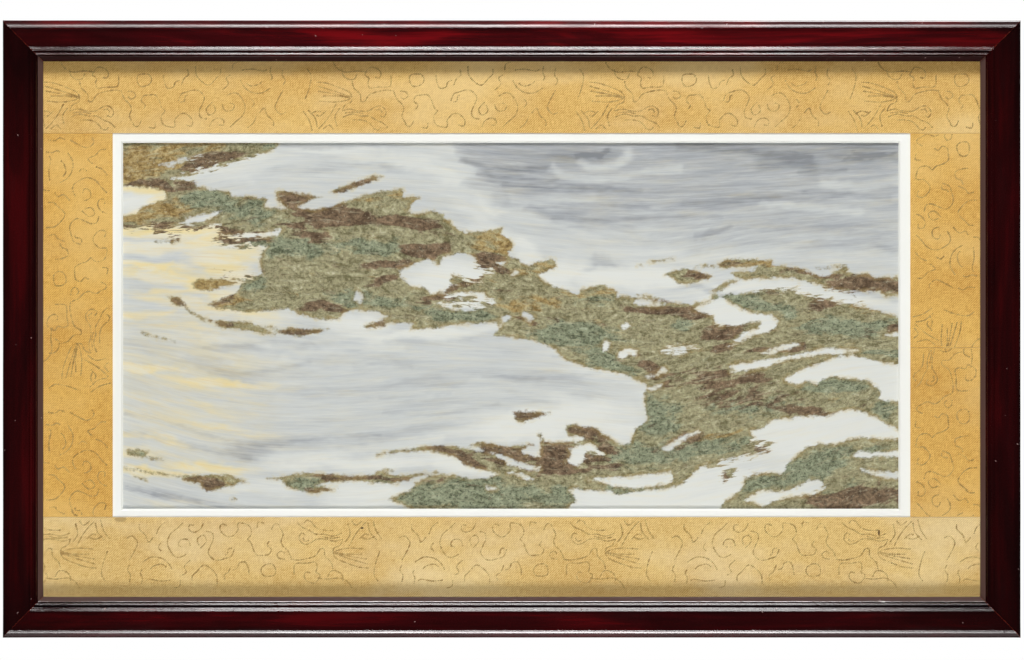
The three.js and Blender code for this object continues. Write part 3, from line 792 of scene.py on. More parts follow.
def silk(look):
    """Gold satin with a fine diagonal twill, uneven threads and soft, clouded colour."""
    sheen = {"Sheen_Weight": 0.12, "Sheen_Roughness": 0.4}
    paint = Paint("gold_silk", Roughness=0.62, Specular_IOR_Level=0.25, **sheen)
    place = paint.place()
    slant = paint.mapped(place, rotation=(0, TWILL_SLANT, 0))
    twill = paint.bands(slant, "X", BAND_LENGTH / look.twill, 0.6, 1.0, 2.0)
    weft = paint.drawn(place, (260, 1, 2600), 3.0, 0.6)
    warp = paint.drawn(place, (2600, 1, 260), 3.0, 0.6)
    threads = paint.sum(paint.scaled(weft, 0.5), paint.scaled(warp, 0.5))
    clouded = paint.drawn(place, (18, 1, 30), 3.0, 0.5)
    tone = paint.sum(paint.scaled(twill, 0.44), paint.scaled(threads, 1.9, -0.75))
    tone = paint.sum(tone, paint.scaled(clouded, 0.5, -0.12))
    base = paint.mix(paint.step(tone, 0.0, 1.0), look.shade, look.ground)
    faded = paint.noise(paint.mapped(place, (13, 1, 26), location=(2, 0, 1)), 1.0, 4.0, 0.6)
    base = paint.over(base, "#efdcae", paint.step(faded, 0.42, 0.68), 0.45)
    base = paint.mix(paint.attribute("gilt"), base, "#fbe8b8", blend="MULTIPLY")
    for across, up, half_width, half_height, shade in SILK_WEAR:
        shift = (-across / half_width, 0, -(CENTRE_Z + up) / half_height)
        spot = paint.mapped(place, (1 / half_width, 0, 1 / half_height), location=shift)
        reach = paint.node("VectorMath", {0: spot}, operation="LENGTH").outputs["Value"]
        frayed = paint.sum(reach, paint.swing(threads, 0.8))
        base = paint.mix(paint.step(frayed, 1.1, 0.7), base, shade)
    normal = paint.bump(paint.sum(paint.scaled(twill, 0.5), threads), 0.05 * MM)
    return paint.finish(Base_Color=base, Normal=normal)


def stitch_shape(look):
    """One low, four-sided stitch laid along the twill: its points and its faces."""
    shape = bmesh.new()
    slant = Matrix.Rotation(TWILL_SLANT, 4, "Y") @ Matrix.Rotation(math.pi / 2, 4, "X")
    bmesh.ops.create_cone(
        shape,
        cap_ends=True,
        segments=4,
        radius1=look.stitch_width * STITCH_FOOT,
        radius2=look.stitch_width * STITCH_TOP,
        depth=STITCH_HEIGHT,
        matrix=slant @ Matrix.Diagonal((1, STITCH_FLAT, 1, 1)),
    )
    points = np.array([v.co[:] for v in shape.verts])
    faces = [[v.index for v in f.verts] for f in shape.faces]
    shape.free()
    return points, faces


def stitches(strip, look):
    """The brocade's figure on one strip, a stitch at each step along its lines."""
    corner = strip.corner()
    reach = abs((strip.high - strip.low).dot(strip.along))
    repeats = math.ceil(reach / (REPEAT * REPEAT_UNIT)) + 2
    runs = [smooth_run(line, look.stitch / REPEAT_UNIT) for line in CLOUDS + CRANE]
    places = []
    for repeat in range(repeats):
        for step in (step for run in runs for step in run):
            along = (strip.start + repeat * REPEAT + step.x) * REPEAT_UNIT
            at = corner + strip.along * along + strip.away * step.y * REPEAT_UNIT
            if all(strip.low[i] + STITCH_MARGIN < at[i] < strip.high[i] - STITCH_MARGIN for i in (0, 2)):
                places.append(at - Vector((0, STITCH_LIFT, 0)))
    points, faces = stitch_shape(look)
    uneven = np.array([1 + STITCH_UNEVEN * noise.noise(at * UNEVEN_PER_METRE) for at in places])
    placed = points[None] * uneven[:, None, None] + np.array(places)[:, None]
    starts = range(0, len(places) * len(points), len(points))
    sides = [[i + start for i in face] for start in starts for face in faces]
    mesh = bpy.data.meshes.new("stitches")
    mesh.from_pydata(placed.reshape(-1, 3), [], sides)
    shape = bmesh.new()
    shape.from_mesh(mesh)
    bpy.data.meshes.remove(mesh)
    return shape


def stitch_silk(look):
    """The figure's darker silk, worn pale in places."""
    paint = Paint("figure_silk", Roughness=0.7, Specular_IOR_Level=0.2)
    worn = paint.step(paint.noise(paint.place(), 140.0, 3.0), 0.35, 0.65)
    return paint.finish(Base_Color=paint.mix(worn, look.figure, "#b59357"))


class DREAMSTONE_OT_silk(bpy.types.Operator):
    """Build the five strips of brocade and their cloud and crane figure"""

    bl_idname = "dreamstone.silk"
    bl_label = "Brocade strips"

    def execute(self, context):
        look = context.scene.dreamstone_silk
        ground, thread = silk(look), stitch_silk(look)
        for strip in STRIPS:
            shape = silk_shape(strip.low, strip.high)
            sheet = new_piece("brocade_" + strip.name, shape, ground)
            add_point_values(sheet.data, "gilt", [strip.gilt] * len(sheet.data.vertices))
            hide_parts("silk_strip_" + strip.name)
            shape = stitches(strip, look)
            figure = new_piece("brocade_figure_" + strip.name, shape, thread)
            strip.flat_size()
        return {"FINISHED"}


# The marble and its figure, drawn in half millimetres right and down from the window's upper left

FIGURE_UNIT = 0.5 * MM
WINDOW_LEFT = -194.8 * MM
WINDOW_TOP = CENTRE_Z + 93.3 * MM

# How far the drawing runs on behind the mat, and the distance past which a line has no effect
EDGE = 30
FAR = 24.0
RIGHT_EDGE = 778 + EDGE
LOWER_EDGE = 368 + EDGE
CALCITE_GREY = 0.3
SKY_GREY = 0.66

# The seed of the noise that pushes the figure's washes and brush marks about
FIGURE_SEED = 1795664758

HILLS = [
    (-EDGE, -EDGE), (156, -EDGE), (156, 3), (149, 8), (128, 13), (115, 17), (91, 23), (64, 30), (48, 36),
    (71, 38), (74, 44), (91, 47), (106, 49), (109, 53), (125, 54), (145, 56), (142, 65), (165, 66),
    (154, 57), (152, 48), (168, 49), (200, 54), (186, 58), (176, 64), (190, 67), (208, 64), (233, 55),
    (254, 49), (282, 46), (280, 54), (298, 55), (289, 61), (285, 69), (295, 71), (312, 68), (321, 72),
    (329, 81), (337, 88), (347, 90), (364, 89), (381, 84), (378, 91), (390, 99), (391, 105), (385, 113),
    (396, 116), (403, 123), (431, 116), (435, 124), (417, 132), (422, 139), (441, 147), (456, 152),
    (459, 147), (481, 142), (495, 149), (495, 154), (520, 155), (543, 159), (568, 162), (588, 158),
    (591, 153), (622, 151), (639, 148), (672, 148), (682, 154), (701, 156), (715, 160), (732, 163),
    (756, 168), (770, 173), (RIGHT_EDGE, 180), (RIGHT_EDGE, LOWER_EDGE), (290, LOWER_EDGE), (290, 368),
    (278, 361), (266, 358), (276, 353), (288, 348), (293, 341), (305, 335), (318, 332), (332, 333),
    (349, 337), (364, 336), (376, 332), (356, 327), (342, 323), (335, 316), (322, 312), (303, 308),
    (276, 310), (254, 314), (254, 312), (276, 308), (298, 305), (318, 303), (329, 304), (341, 306),
    (356, 309), (371, 312), (362, 307), (348, 303), (358, 300), (373, 302), (383, 304), (395, 304),
    (413, 302), (405, 305), (398, 309), (403, 312), (417, 315), (419, 307), (418, 299), (416, 291),
    (419, 291), (422, 299), (434, 300), (461, 299), (462, 295), (454, 293), (447, 295), (444, 287),
    (445, 282), (452, 282), (459, 285), (469, 285), (476, 287), (481, 292), (488, 294), (491, 298),
    (500, 303), (507, 302), (510, 297), (513, 287), (526, 278), (522, 261), (525, 242), (500, 231),
    (466, 225), (444, 218), (434, 208), (424, 202), (407, 197), (371, 193), (379, 183), (373, 180),
    (335, 182), (312, 186), (289, 187), (291, 181), (268, 180), (254, 183), (240, 185), (256, 179),
    (266, 174), (254, 169), (237, 168), (222, 169), (216, 177), (196, 177), (184, 173), (174, 171),
    (164, 166), (144, 168), (125, 170), (105, 167), (91, 166), (84, 163), (91, 160), (105, 154),
    (115, 149), (118, 142), (125, 137), (140, 132), (137, 121), (138, 113), (144, 105), (128, 103),
    (105, 102), (93, 99), (98, 95), (95, 91), (99, 83), (88, 80), (77, 86), (71, 86), (60, 83), (52, 83),
    (40, 87), (33, 88), (30, 83), (15, 84), (-EDGE, 85),
]

CLEARINGS = [
    [(-EDGE, 43), (20, 44), (41, 48), (44, 56), (21, 64), (11, 72), (-EDGE, 76)],
    [
        (276, 128), (305, 116), (317, 122), (322, 113), (337, 110), (352, 113), (354, 121), (363, 128),
        (359, 138), (329, 142), (322, 149), (308, 152), (303, 145), (288, 144), (279, 135),
    ],
    [(315, 161), (327, 150), (363, 150), (364, 155), (378, 159), (363, 164), (346, 169), (322, 166)],
    [(234, 148), (241, 153), (239, 162), (231, 158)],
    [(96, 92), (111, 93), (128, 89), (145, 89), (160, 86), (155, 93), (142, 95), (115, 96), (101, 95)],
    [(57, 81), (66, 74), (80, 72), (98, 68), (94, 73), (80, 79), (66, 82)],
    [(120, 103), (142, 101), (145, 104), (140, 108), (128, 107)],
    [(36, 22), (46, 19), (62, 15), (79, 12), (70, 17), (54, 21), (44, 24)],
    [(374, 121), (380, 118), (384, 120), (378, 124)],
    [(364, 128), (369, 126), (373, 130), (366, 133)],
    [(388, 129), (394, 127), (397, 131), (391, 134)],
    [(376, 177), (385, 172), (390, 174), (382, 180)],
    [(399, 170), (404, 168), (412, 176), (408, 180), (402, 176)],
    [(480, 203), (484, 198), (489, 200), (486, 208), (481, 210)],
    [(497, 215), (500, 207), (508, 205), (516, 208), (515, 214), (506, 212), (501, 217)],
    [(498, 184), (504, 181), (510, 183), (504, 187)],
    [
        (571, 166), (588, 159), (600, 154), (608, 159), (619, 166), (632, 171), (650, 173), (657, 178),
        (655, 185), (648, 189), (632, 193), (619, 200), (605, 205), (612, 197), (622, 190), (636, 186),
        (640, 180), (630, 179), (614, 184), (598, 184), (593, 179), (592, 174),
    ],
    [(540, 210), (546, 204), (558, 202), (570, 203), (579, 206), (567, 208), (562, 212), (550, 214)],
    [(639, 211), (650, 206), (674, 200), (679, 203), (667, 206), (650, 212)],
    [
        (608, 224), (619, 220), (626, 221), (636, 218), (658, 215), (684, 210), (701, 206), (719, 206),
        (738, 208), (719, 212), (701, 212), (684, 215), (663, 218), (646, 224), (632, 228), (608, 230),
        (612, 227),
    ],
    [
        (662, 237), (672, 231), (684, 226), (698, 221), (712, 215), (732, 213), (750, 218), (776, 222),
        (RIGHT_EDGE, 225), (RIGHT_EDGE, 262), (776, 259), (757, 258), (760, 249), (746, 238), (734, 237),
        (722, 236), (713, 234), (705, 235), (701, 238), (695, 242), (684, 238), (677, 243), (667, 240),
    ],
    [
        (629, 288), (643, 285), (650, 278), (667, 276), (684, 274), (705, 274), (719, 269), (732, 267),
        (746, 271), (756, 276), (777, 288), (RIGHT_EDGE, 292), (RIGHT_EDGE, 299), (777, 297), (760, 297),
        (743, 295), (725, 298), (715, 302), (698, 302), (686, 305), (677, 312), (667, 321), (662, 331),
        (646, 331), (632, 333), (624, 338), (619, 348), (612, 354), (603, 359), (598, 370),
        (598, LOWER_EDGE), (446, LOWER_EDGE), (446, 366), (456, 358), (447, 349), (451, 346), (464, 348),
        (488, 349), (493, 352), (503, 352), (520, 349), (531, 348), (549, 346), (562, 340), (569, 333),
        (579, 324), (598, 319), (619, 314), (632, 311), (648, 308), (639, 305), (626, 301), (632, 297),
    ],
    [
        (464, 338), (474, 336), (500, 335), (531, 332), (548, 330), (553, 336), (546, 342), (529, 345),
        (512, 347), (500, 345), (486, 343), (478, 340),
    ],
    [(541, 307), (553, 298), (564, 292), (577, 288), (579, 290), (567, 295), (558, 302), (546, 309)],
    [(522, 235), (534, 231), (543, 224), (545, 228), (538, 233), (524, 237)],
    [(524, 246), (541, 242), (540, 245), (528, 248)],
    [
        (622, 359), (636, 350), (643, 348), (655, 350), (667, 348), (681, 343), (689, 338), (698, 338),
        (705, 347), (694, 352), (677, 354), (663, 356), (650, 360), (639, 365), (632, 360),
    ],
    [
        (732, 314), (739, 308), (750, 311), (777, 308), (RIGHT_EDGE, 308), (RIGHT_EDGE, 315), (777, 314),
        (753, 315), (738, 316),
    ],
    [(738, 326), (753, 329), (RIGHT_EDGE, 332), (RIGHT_EDGE, 337), (762, 336), (741, 329)],
    [(763, 193), (777, 190), (RIGHT_EDGE, 188), (RIGHT_EDGE, 195), (777, 194)],
    [
        (447, 307), (457, 303), (469, 301), (474, 305), (483, 312), (466, 313), (462, 319), (456, 324),
        (444, 320), (449, 314),
    ],
    [
        (373, 311), (383, 314), (395, 319), (407, 323), (418, 325), (417, 329), (407, 328), (396, 325),
        (386, 323), (383, 318), (376, 315),
    ],
    [(385, 330), (400, 331), (412, 336), (406, 338), (396, 334)],
    [(364, 345), (373, 345), (374, 348), (366, 349)],
    [(514, 157), (530, 158), (543, 163), (530, 164), (512, 161)],
]

ISLANDS = [
    [
        (208, 50), (210, 47), (222, 43), (240, 37), (250, 33), (260, 34), (255, 37), (240, 42),
        (223, 49), (211, 51),
    ],
    [
        (543, 132), (552, 128), (564, 126), (577, 129), (591, 134), (581, 138), (569, 141), (558, 142),
        (552, 137),
    ],
    [
        (574, 123), (595, 122), (605, 117), (615, 116), (632, 117), (651, 118), (650, 124), (667, 124),
        (684, 127), (691, 132), (703, 134), (710, 132), (722, 125), (727, 123), (725, 130), (748, 132),
        (753, 135), (777, 134), (RIGHT_EDGE, 134), (RIGHT_EDGE, 152), (777, 153), (765, 154), (758, 149),
        (743, 149), (729, 149), (710, 146), (694, 141), (684, 139), (672, 135), (657, 135), (632, 136),
        (619, 137), (608, 130), (632, 129), (636, 124), (601, 125), (581, 124),
    ],
    [(589, 149), (596, 144), (607, 139), (619, 137), (608, 142), (598, 148)],
    [(391, 270), (403, 269), (429, 271), (417, 275), (407, 278), (398, 281), (393, 276)],
    [
        (52, 334), (64, 333), (91, 333), (105, 333), (115, 336), (125, 340), (115, 342), (105, 345),
        (91, 348), (84, 349), (79, 346), (77, 342), (64, 339),
    ],
    [
        (144, 336), (155, 336), (167, 333), (181, 331), (208, 332), (233, 334), (249, 333), (262, 327),
        (272, 328), (264, 331), (279, 334), (296, 331), (317, 330), (318, 332), (295, 334), (283, 339),
        (271, 342), (254, 341), (233, 338), (200, 341), (193, 344), (215, 347), (200, 349), (193, 352),
        (174, 348), (164, 345), (159, 338),
    ],
    [(3, 309), (13, 307), (25, 309), (23, 314), (40, 318), (30, 318), (16, 314), (6, 313)],
    [(88, 178), (128, 180), (145, 188), (152, 192), (138, 191), (115, 186), (98, 185)],
    [(154, 190), (166, 186), (179, 186), (193, 187), (208, 186), (191, 191), (176, 194), (162, 192)],
    [(240, 185), (250, 180), (262, 178), (262, 184), (245, 186)],
    [(44, 155), (54, 154), (60, 159), (64, 163), (54, 164), (47, 159)],
    [(69, 142), (77, 137), (91, 137), (105, 138), (115, 140), (98, 145), (81, 149), (71, 146)],
    [(640, 303), (645, 301), (648, 303), (643, 305)],
    [(309, 153), (322, 150), (340, 140), (359, 136), (356, 142), (338, 149), (326, 153)],
    [(330, 133), (338, 134), (341, 140), (332, 143), (328, 139)],
    [(604, 333), (611, 330), (609, 334), (603, 337)],
]

# Thin marks: half width, then the points of the line
VEINS = [
    (1.3, [(62, 164), (71, 172), (86, 178), (115, 182), (132, 184)]),
    (0.9, [(31, 99), (45, 98), (52, 98), (59, 96)]),
    (1.6, [(47, 99), (52, 99)]),
    (0.7, [(526, 120), (536, 118), (553, 116)]),
    (0.6, [(515, 124), (522, 122)]),
    (0.8, [(693, 126), (710, 125), (727, 123)]),
    (0.8, [(140, 184), (156, 185)]),
    (0.8, [(-6, 325), (14, 328), (32, 331), (52, 334)]),
    (0.7, [(10, 334), (20, 337), (25, 339)]),
    (0.7, [(18, 190), (30, 194), (54, 199)]),
    (0.7, [(512, 153), (526, 154), (546, 159)]),
    (0.8, [(320, 160), (335, 158), (352, 156)]),
    (0.6, [(330, 165), (342, 162)]),
    (0.8, [(231, 364), (234, 361)]),
    (0.9, [(108, 357), (115, 356)]),
]

# Soft washes: centre, half length, half height, tilt in degrees and strength
TINTS = {
    "green": [
        (85, 55, 34, 10, 4, 1.0), (125, 68, 28, 14, 8, 0.9), (162, 105, 54, 12, 0, 0.85),
        (255, 105, 50, 8, 0, 0.9), (230, 156, 26, 11, 0, 0.8), (130, 140, 20, 10, 0, 0.8),
        (335, 172, 48, 9, 4, 1.0), (270, 160, 32, 8, 0, 0.6), (470, 158, 30, 6, 0, 0.5),
        (450, 192, 50, 13, 0, 1.0), (480, 218, 44, 9, 20, 1.0), (535, 275, 28, 24, 0, 0.85),
        (630, 264, 60, 14, 0, 0.5), (530, 312, 62, 14, -4, 0.85), (600, 303, 60, 10, -8, 0.7),
        (562, 182, 16, 9, -20, 0.8), (636, 161, 48, 8, 14, 1.0), (722, 184, 48, 11, 0, 1.0),
        (720, 242, 38, 9, 0, 0.9), (760, 212, 30, 4, 0, 0.7), (764, 266, 12, 14, 0, 0.9),
        (350, 352, 84, 17, 0, 1.0), (450, 354, 40, 12, 0, 0.9), (500, 348, 52, 5, 0, 0.8),
        (690, 325, 50, 16, -24, 0.9), (720, 350, 60, 14, 0, 0.3), (640, 341, 36, 8, -20, 0.9),
        (180, 342, 24, 8, 0, 0.8), (108, 340, 12, 5, 0, 0.5), (265, 340, 16, 5, 0, 0.8),
        (150, 6, 10, 5, 0, 0.9), (182, 0, 16, 3, 0, 1.0), (22, 312, 12, 4, 0, 0.8),
        (745, 310, 40, 6, -4, 0.8),
    ],
    "brown": [
        (85, 18, 36, 6, -14, 1.0), (28, 44, 34, 6, 0, 0.8), (62, 40, 16, 5, 10, 0.7),
        (173, 57, 28, 10, 0, 1.0), (234, 42, 30, 5, -24, 1.0), (212, 73, 48, 12, 6, 1.0),
        (182, 89, 30, 7, 10, 0.6), (290, 81, 36, 8, 8, 1.0), (306, 107, 28, 9, 0, 1.0),
        (265, 122, 30, 5, -8, 0.9), (262, 138, 24, 6, -20, 0.5), (365, 119, 18, 9, 10, 1.0),
        (382, 128, 12, 4, 0, 0.8), (332, 145, 32, 4, -22, 1.0), (320, 156, 20, 3, 0, 0.9),
        (120, 98, 34, 4, 0, 1.0), (60, 90, 80, 9, 0, 0.9), (108, 122, 30, 14, 20, 0.7),
        (55, 160, 13, 5, 30, 1.0), (85, 173, 38, 3, 16, 0.9), (95, 156, 26, 6, -10, 0.5),
        (200, 166, 24, 6, 6, 0.9), (250, 180, 15, 4, -14, 0.9), (175, 190, 28, 3, 0, 0.9),
        (398, 175, 12, 5, 20, 0.6), (578, 132, 26, 8, 0, 0.9), (550, 169, 46, 5, 4, 0.9),
        (560, 158, 44, 2, 2, 0.8), (600, 190, 28, 7, -10, 0.8), (600, 204, 12, 6, 0, 0.8),
        (690, 130, 32, 5, 8, 0.9), (745, 142, 40, 9, 0, 1.0), (702, 162, 22, 5, 0, 0.5),
        (771, 188, 10, 4, 0, 1.0), (662, 206, 42, 3, -8, 0.8), (531, 227, 15, 8, 20, 1.0),
        (598, 238, 60, 14, 0, 0.5), (625, 256, 60, 10, 0, 0.45), (690, 270, 44, 3, 4, 0.7),
        (560, 300, 30, 10, -20, 0.4), (641, 308, 9, 4, 0, 1.0), (345, 318, 28, 7, 26, 1.0),
        (330, 308, 32, 4, 4, 1.0), (385, 310, 36, 6, 14, 1.0), (392, 322, 32, 3, 10, 0.9),
        (428, 311, 26, 15, 0, 1.0), (442, 322, 22, 9, 0, 0.9), (470, 316, 17, 6, 0, 1.0),
        (462, 290, 17, 8, 10, 0.9), (486, 301, 17, 8, 40, 0.6), (405, 272, 22, 8, 0, 1.0),
        (455, 330, 52, 3, -4, 0.7), (75, 340, 25, 5, 0, 1.0), (86, 346, 17, 3, 0, 0.8),
        (225, 335, 42, 3, 0, 0.8), (200, 348, 15, 4, 0, 0.9), (280, 334, 42, 2, 0, 0.7),
        (732, 356, 54, 12, -6, 0.8), (601, 336, 11, 4, 0, 0.9), (615, 120, 40, 3, 0, 0.4),
    ],
    "gold": [
        (20, 22, 46, 22, -20, 1.0), (60, 6, 60, 8, 0, 0.7), (26, 72, 48, 10, -10, 1.0),
        (62, 62, 20, 8, -10, 0.8), (90, 142, 26, 9, 0, 1.0), (100, 158, 32, 6, -10, 0.8),
        (376, 98, 22, 15, 20, 0.8), (302, 58, 42, 8, 10, 0.5), (268, 56, 30, 6, 0, 0.5),
        (415, 124, 21, 8, 0, 0.6), (440, 151, 42, 5, 0, 0.5), (408, 161, 42, 9, 0, 0.6),
        (640, 119, 36, 4, 0, 0.8), (480, 148, 17, 6, 0, 0.6), (472, 292, 15, 8, 20, 0.6),
        (738, 165, 32, 5, 0, 0.6), (592, 292, 32, 5, -10, 0.6), (90, 340, 32, 6, 0, 0.5),
        (640, 332, 22, 8, -30, 0.4), (60, 90, 80, 9, 0, 0.6),
    ],
    "ochre": [
        (20, 46, 34, 6, 4, 0.9), (40, 58, 10, 12, 0, 0.8), (14, 72, 24, 5, -10, 0.8),
        (40, 88, 90, 7, 0, 0.95), (90, 98, 34, 8, 0, 0.9), (40, 106, 90, 6, 0, 0.5),
        (98, 122, 38, 18, 20, 0.95), (124, 110, 22, 12, 0, 0.6), (20, 123, 64, 4, 4, 1.0),
        (44, 134, 62, 8, 4, 0.85), (72, 140, 20, 10, 0, 1.0), (70, 150, 52, 4, 0, 0.8),
        (104, 152, 24, 7, -10, 0.8), (50, 161, 62, 6, 14, 0.65), (100, 167, 62, 7, 10, 0.75),
        (40, 179, 80, 6, 8, 0.55), (20, 173, 40, 4, -10, 0.7), (60, 190, 80, 4, 8, 0.5),
        (30, 226, 46, 6, 4, 0.95), (92, 240, 66, 6, 4, 0.95), (60, 262, 100, 5, 8, 0.5),
        (40, 275, 60, 10, 8, 0.5), (100, 286, 62, 6, 8, 0.6), (30, 296, 52, 4, 12, 0.7),
        (20, 311, 44, 7, 6, 0.6), (84, 325, 54, 7, 6, 0.95), (34, 331, 52, 5, 6, 0.95),
        (66, 240, 100, 100, 0, 0.36), (60, 362, 50, 4, 4, 0.3), (60, 210, 90, 26, 4, 0.32),
    ],
    "crumbs": [
        (70, 86, 84, 6, 0, 0.8), (110, 102, 44, 8, 0, 1.0), (100, 122, 36, 14, 20, 1.0),
        (360, 130, 34, 15, 0, 0.6), (345, 160, 34, 8, 0, 0.8), (604, 330, 44, 15, -20, 0.7),
        (470, 312, 18, 9, 0, 0.6), (640, 302, 30, 8, 0, 0.6), (720, 345, 24, 10, 0, 0.5),
        (700, 155, 70, 12, 6, 0.6), (90, 22, 50, 12, -14, 0.6), (560, 196, 60, 16, 0, 0.6),
    ],
}
SMOKE_WASHES = [
    (34, 118, 62, 5, 4, 0.2), (20, 141, 30, 6, 4, 0.2), (20, 200, 60, 8, 8, 0.2),
    (106, 205, 42, 6, 0, 0.5), (86, 222, 42, 5, 10, 0.5), (140, 233, 60, 8, 0, 0.4),
    (130, 307, 26, 11, 0, 0.9), (172, 300, 60, 8, -4, 0.45), (230, 212, 80, 8, 4, 0.4),
    (300, 240, 60, 6, -6, 0.4), (430, 236, 62, 8, 4, 0.4), (310, 285, 62, 6, -8, 0.4),
    (250, 297, 60, 7, -4, 0.4), (200, 251, 80, 6, 0, 0.3), (422, 250, 60, 5, 4, 0.3),
    (190, 2, 100, 5, 0, 0.6), (272, 24, 32, 5, 16, 0.5), (200, 25, 60, 4, -6, 0.35),
    (30, 350, 52, 4, 10, 0.6), (70, 358, 52, 4, 6, 0.6), (132, 356, 52, 6, 0, 0.35),
    (480, 117, 22, 5, 0, 0.6), (466, 126, 14, 3, -4, 0.5), (582, 148, 36, 4, 4, 0.8),
    (752, 151, 32, 4, 8, 0.5), (766, 105, 20, 4, 0, 0.6), (460, 12, 44, 8, 0, 0.5),
    (610, 6, 90, 6, 0, 0.4), (712, 9, 90, 9, 0, 0.6), (430, 45, 62, 8, 0, 0.35),
    (560, 62, 84, 6, 0, 0.3), (650, 55, 64, 6, 0, 0.35), (430, 71, 34, 5, 0, 0.4),
    (700, 84, 80, 6, 0, 0.3), (580, 92, 26, 4, -8, 0.5), (300, 262, 60, 5, -6, 0.3),
]
WHITE_WASHES = [
    (290, 191, 90, 7, -3, 1.0), (232, 180, 34, 12, 0, 0.9), (150, 172, 34, 9, 0, 0.5),
    (430, 276, 104, 17, -6, 1.0), (402, 287, 60, 17, 0, 1.0), (490, 290, 40, 20, 0, 0.8),
    (470, 266, 64, 9, 16, 0.8), (250, 321, 116, 7, -2, 0.9), (345, 322, 60, 12, 10, 1.0),
    (140, 350, 50, 14, 0, 0.6), (244, 352, 56, 18, 0, 0.9), (440, 130, 34, 17, 0, 1.0),
    (512, 135, 80, 15, 0, 1.0), (402, 111, 26, 10, 30, 0.8), (360, 80, 34, 12, 40, 0.5),
    (372, 60, 22, 14, 0, 0.9), (302, 26, 64, 9, 16, 0.6), (232, 12, 124, 5, 4, 0.5),
    (120, 31, 54, 8, -14, 0.5), (700, 262, 200, 84, 0, 1.0), (560, 350, 190, 32, 0, 1.0),
    (330, 140, 64, 24, 0, 1.0), (340, 160, 62, 9, 0, 1.0), (622, 176, 66, 24, 20, 1.0),
    (700, 152, 96, 10, 10, 0.8), (642, 146, 64, 9, 0, 0.9), (26, 60, 44, 18, 0, 0.9),
    (32, 104, 84, 7, 0, 0.8), (460, 312, 60, 24, 0, 1.0), (600, 112, 190, 7, 0, 0.35),
    (500, 200, 80, 40, 0, 1.0), (110, 20, 60, 10, -14, 0.7), (110, 90, 60, 26, 0, 0.8),
]

# The grey sky behind the hills, and dark or light brush marks: strength, half width, line
SKY = [
    (318, -EDGE), (337, 10), (352, 44), (378, 62), (410, 76), (450, 92), (500, 104), (560, 110),
    (640, 112), (700, 116), (RIGHT_EDGE, 122), (RIGHT_EDGE, -EDGE),
]
SKY_MARKS = [
    (0.75, 1.6, [(337, 16), (349, 21), (359, 24), (386, 26), (424, 27)]),
    (0.6, 1.0, [(440, 37), (410, 36), (380, 33), (352, 30)]),
    (0.9, 1.6, [(454, 13), (466, 12), (478, 12)]),
    (0.9, 1.8, [(478, 14), (483, 9), (486, 7)]),
    (-0.9, 3.0, [(458, 20), (472, 24), (492, 22), (506, 14), (504, 8)]),
    (-0.6, 2.5, [(430, 22), (444, 34), (480, 36), (520, 30), (560, 26)]),
    (0.5, 2.5, [(556, 4), (610, 6), (650, 12), (690, 14)]),
    (0.55, 5.0, [(640, 20), (664, 18), (690, 22)]),
    (0.6, 1.4, [(676, 30), (700, 30), (726, 27)]),
    (0.7, 1.2, [(722, 18), (740, 14), (775, 10)]),
    (0.6, 1.0, [(730, 9), (750, 14), (776, 16)]),
    (-0.6, 3.0, [(700, 40), (740, 44), (778, 38)]),
    (-0.5, 2.5, [(640, 60), (690, 66), (740, 70)]),
    (0.5, 1.6, [(572, 92), (590, 90), (610, 84)]),
    (0.4, 1.6, [(680, 50), (720, 52), (770, 56)]),
    (0.5, 1.2, [(380, 42), (430, 45), (520, 48)]),
    (0.45, 1.6, [(400, 66), (450, 62), (530, 64)]),
    (0.4, 1.4, [(430, 76), (480, 78), (540, 74), (600, 74)]),
    (-0.4, 4.0, [(390, 56), (430, 58), (470, 54)]),
    (0.35, 2.0, [(560, 60), (600, 58), (660, 54)]),
    (0.3, 1.5, [(690, 100), (730, 98), (760, 96)]),
]
WATER_MARKS = [
    (0.45, 1.4, [(80, 205), (120, 203), (150, 199), (190, 202)]),
    (0.5, 1.6, [(85, 230), (120, 231), (160, 226), (190, 220)]),
    (0.5, 1.2, [(0, 270), (30, 276), (70, 288), (110, 300), (150, 302), (200, 296), (260, 292)]),
    (0.5, 1.6, [(0, 290), (40, 297), (80, 306), (110, 312), (130, 318)]),
    (0.45, 1.4, [(254, 256), (290, 254), (330, 250)]),
    (0.4, 1.6, [(260, 270), (310, 272), (350, 266), (380, 262)]),
    (-0.5, 2.5, [(160, 214), (220, 207), (280, 206)]),
    (-0.5, 3.0, [(140, 318), (200, 312), (260, 304), (320, 296)]),
    (0.4, 1.2, [(430, 214), (470, 214), (500, 218)]),
    (0.4, 1.4, [(360, 234), (420, 236), (480, 230)]),
    (0.35, 1.2, [(260, 198), (310, 200), (350, 196)]),
    (0.55, 1.2, [(0, 345), (20, 350), (50, 358), (80, 362)]),
    (0.5, 1.0, [(30, 352), (60, 355)]),
    (-0.45, 2.5, [(80, 198), (120, 196), (148, 204)]),
    (0.35, 1.6, [(230, 226), (262, 222), (290, 224)]),
]

# How far the layers of the marble dip below level, along three lines across the panel
SKY_DIP = [
    (-EDGE, 10), (150, -14), (300, -8), (400, 2), (520, 4), (620, 0), (RIGHT_EDGE, -10),
]
HILL_DIP = [
    (-EDGE, -16), (150, -8), (300, 4), (450, 22), (540, 26), (640, 12), (RIGHT_EDGE, 4),
]
WATER_DIP = [
    (-EDGE, -24), (70, 4), (150, 14), (230, 12), (340, 4), (440, 4), (520, 14), (600, 0),
    (RIGHT_EDGE, -44),
]


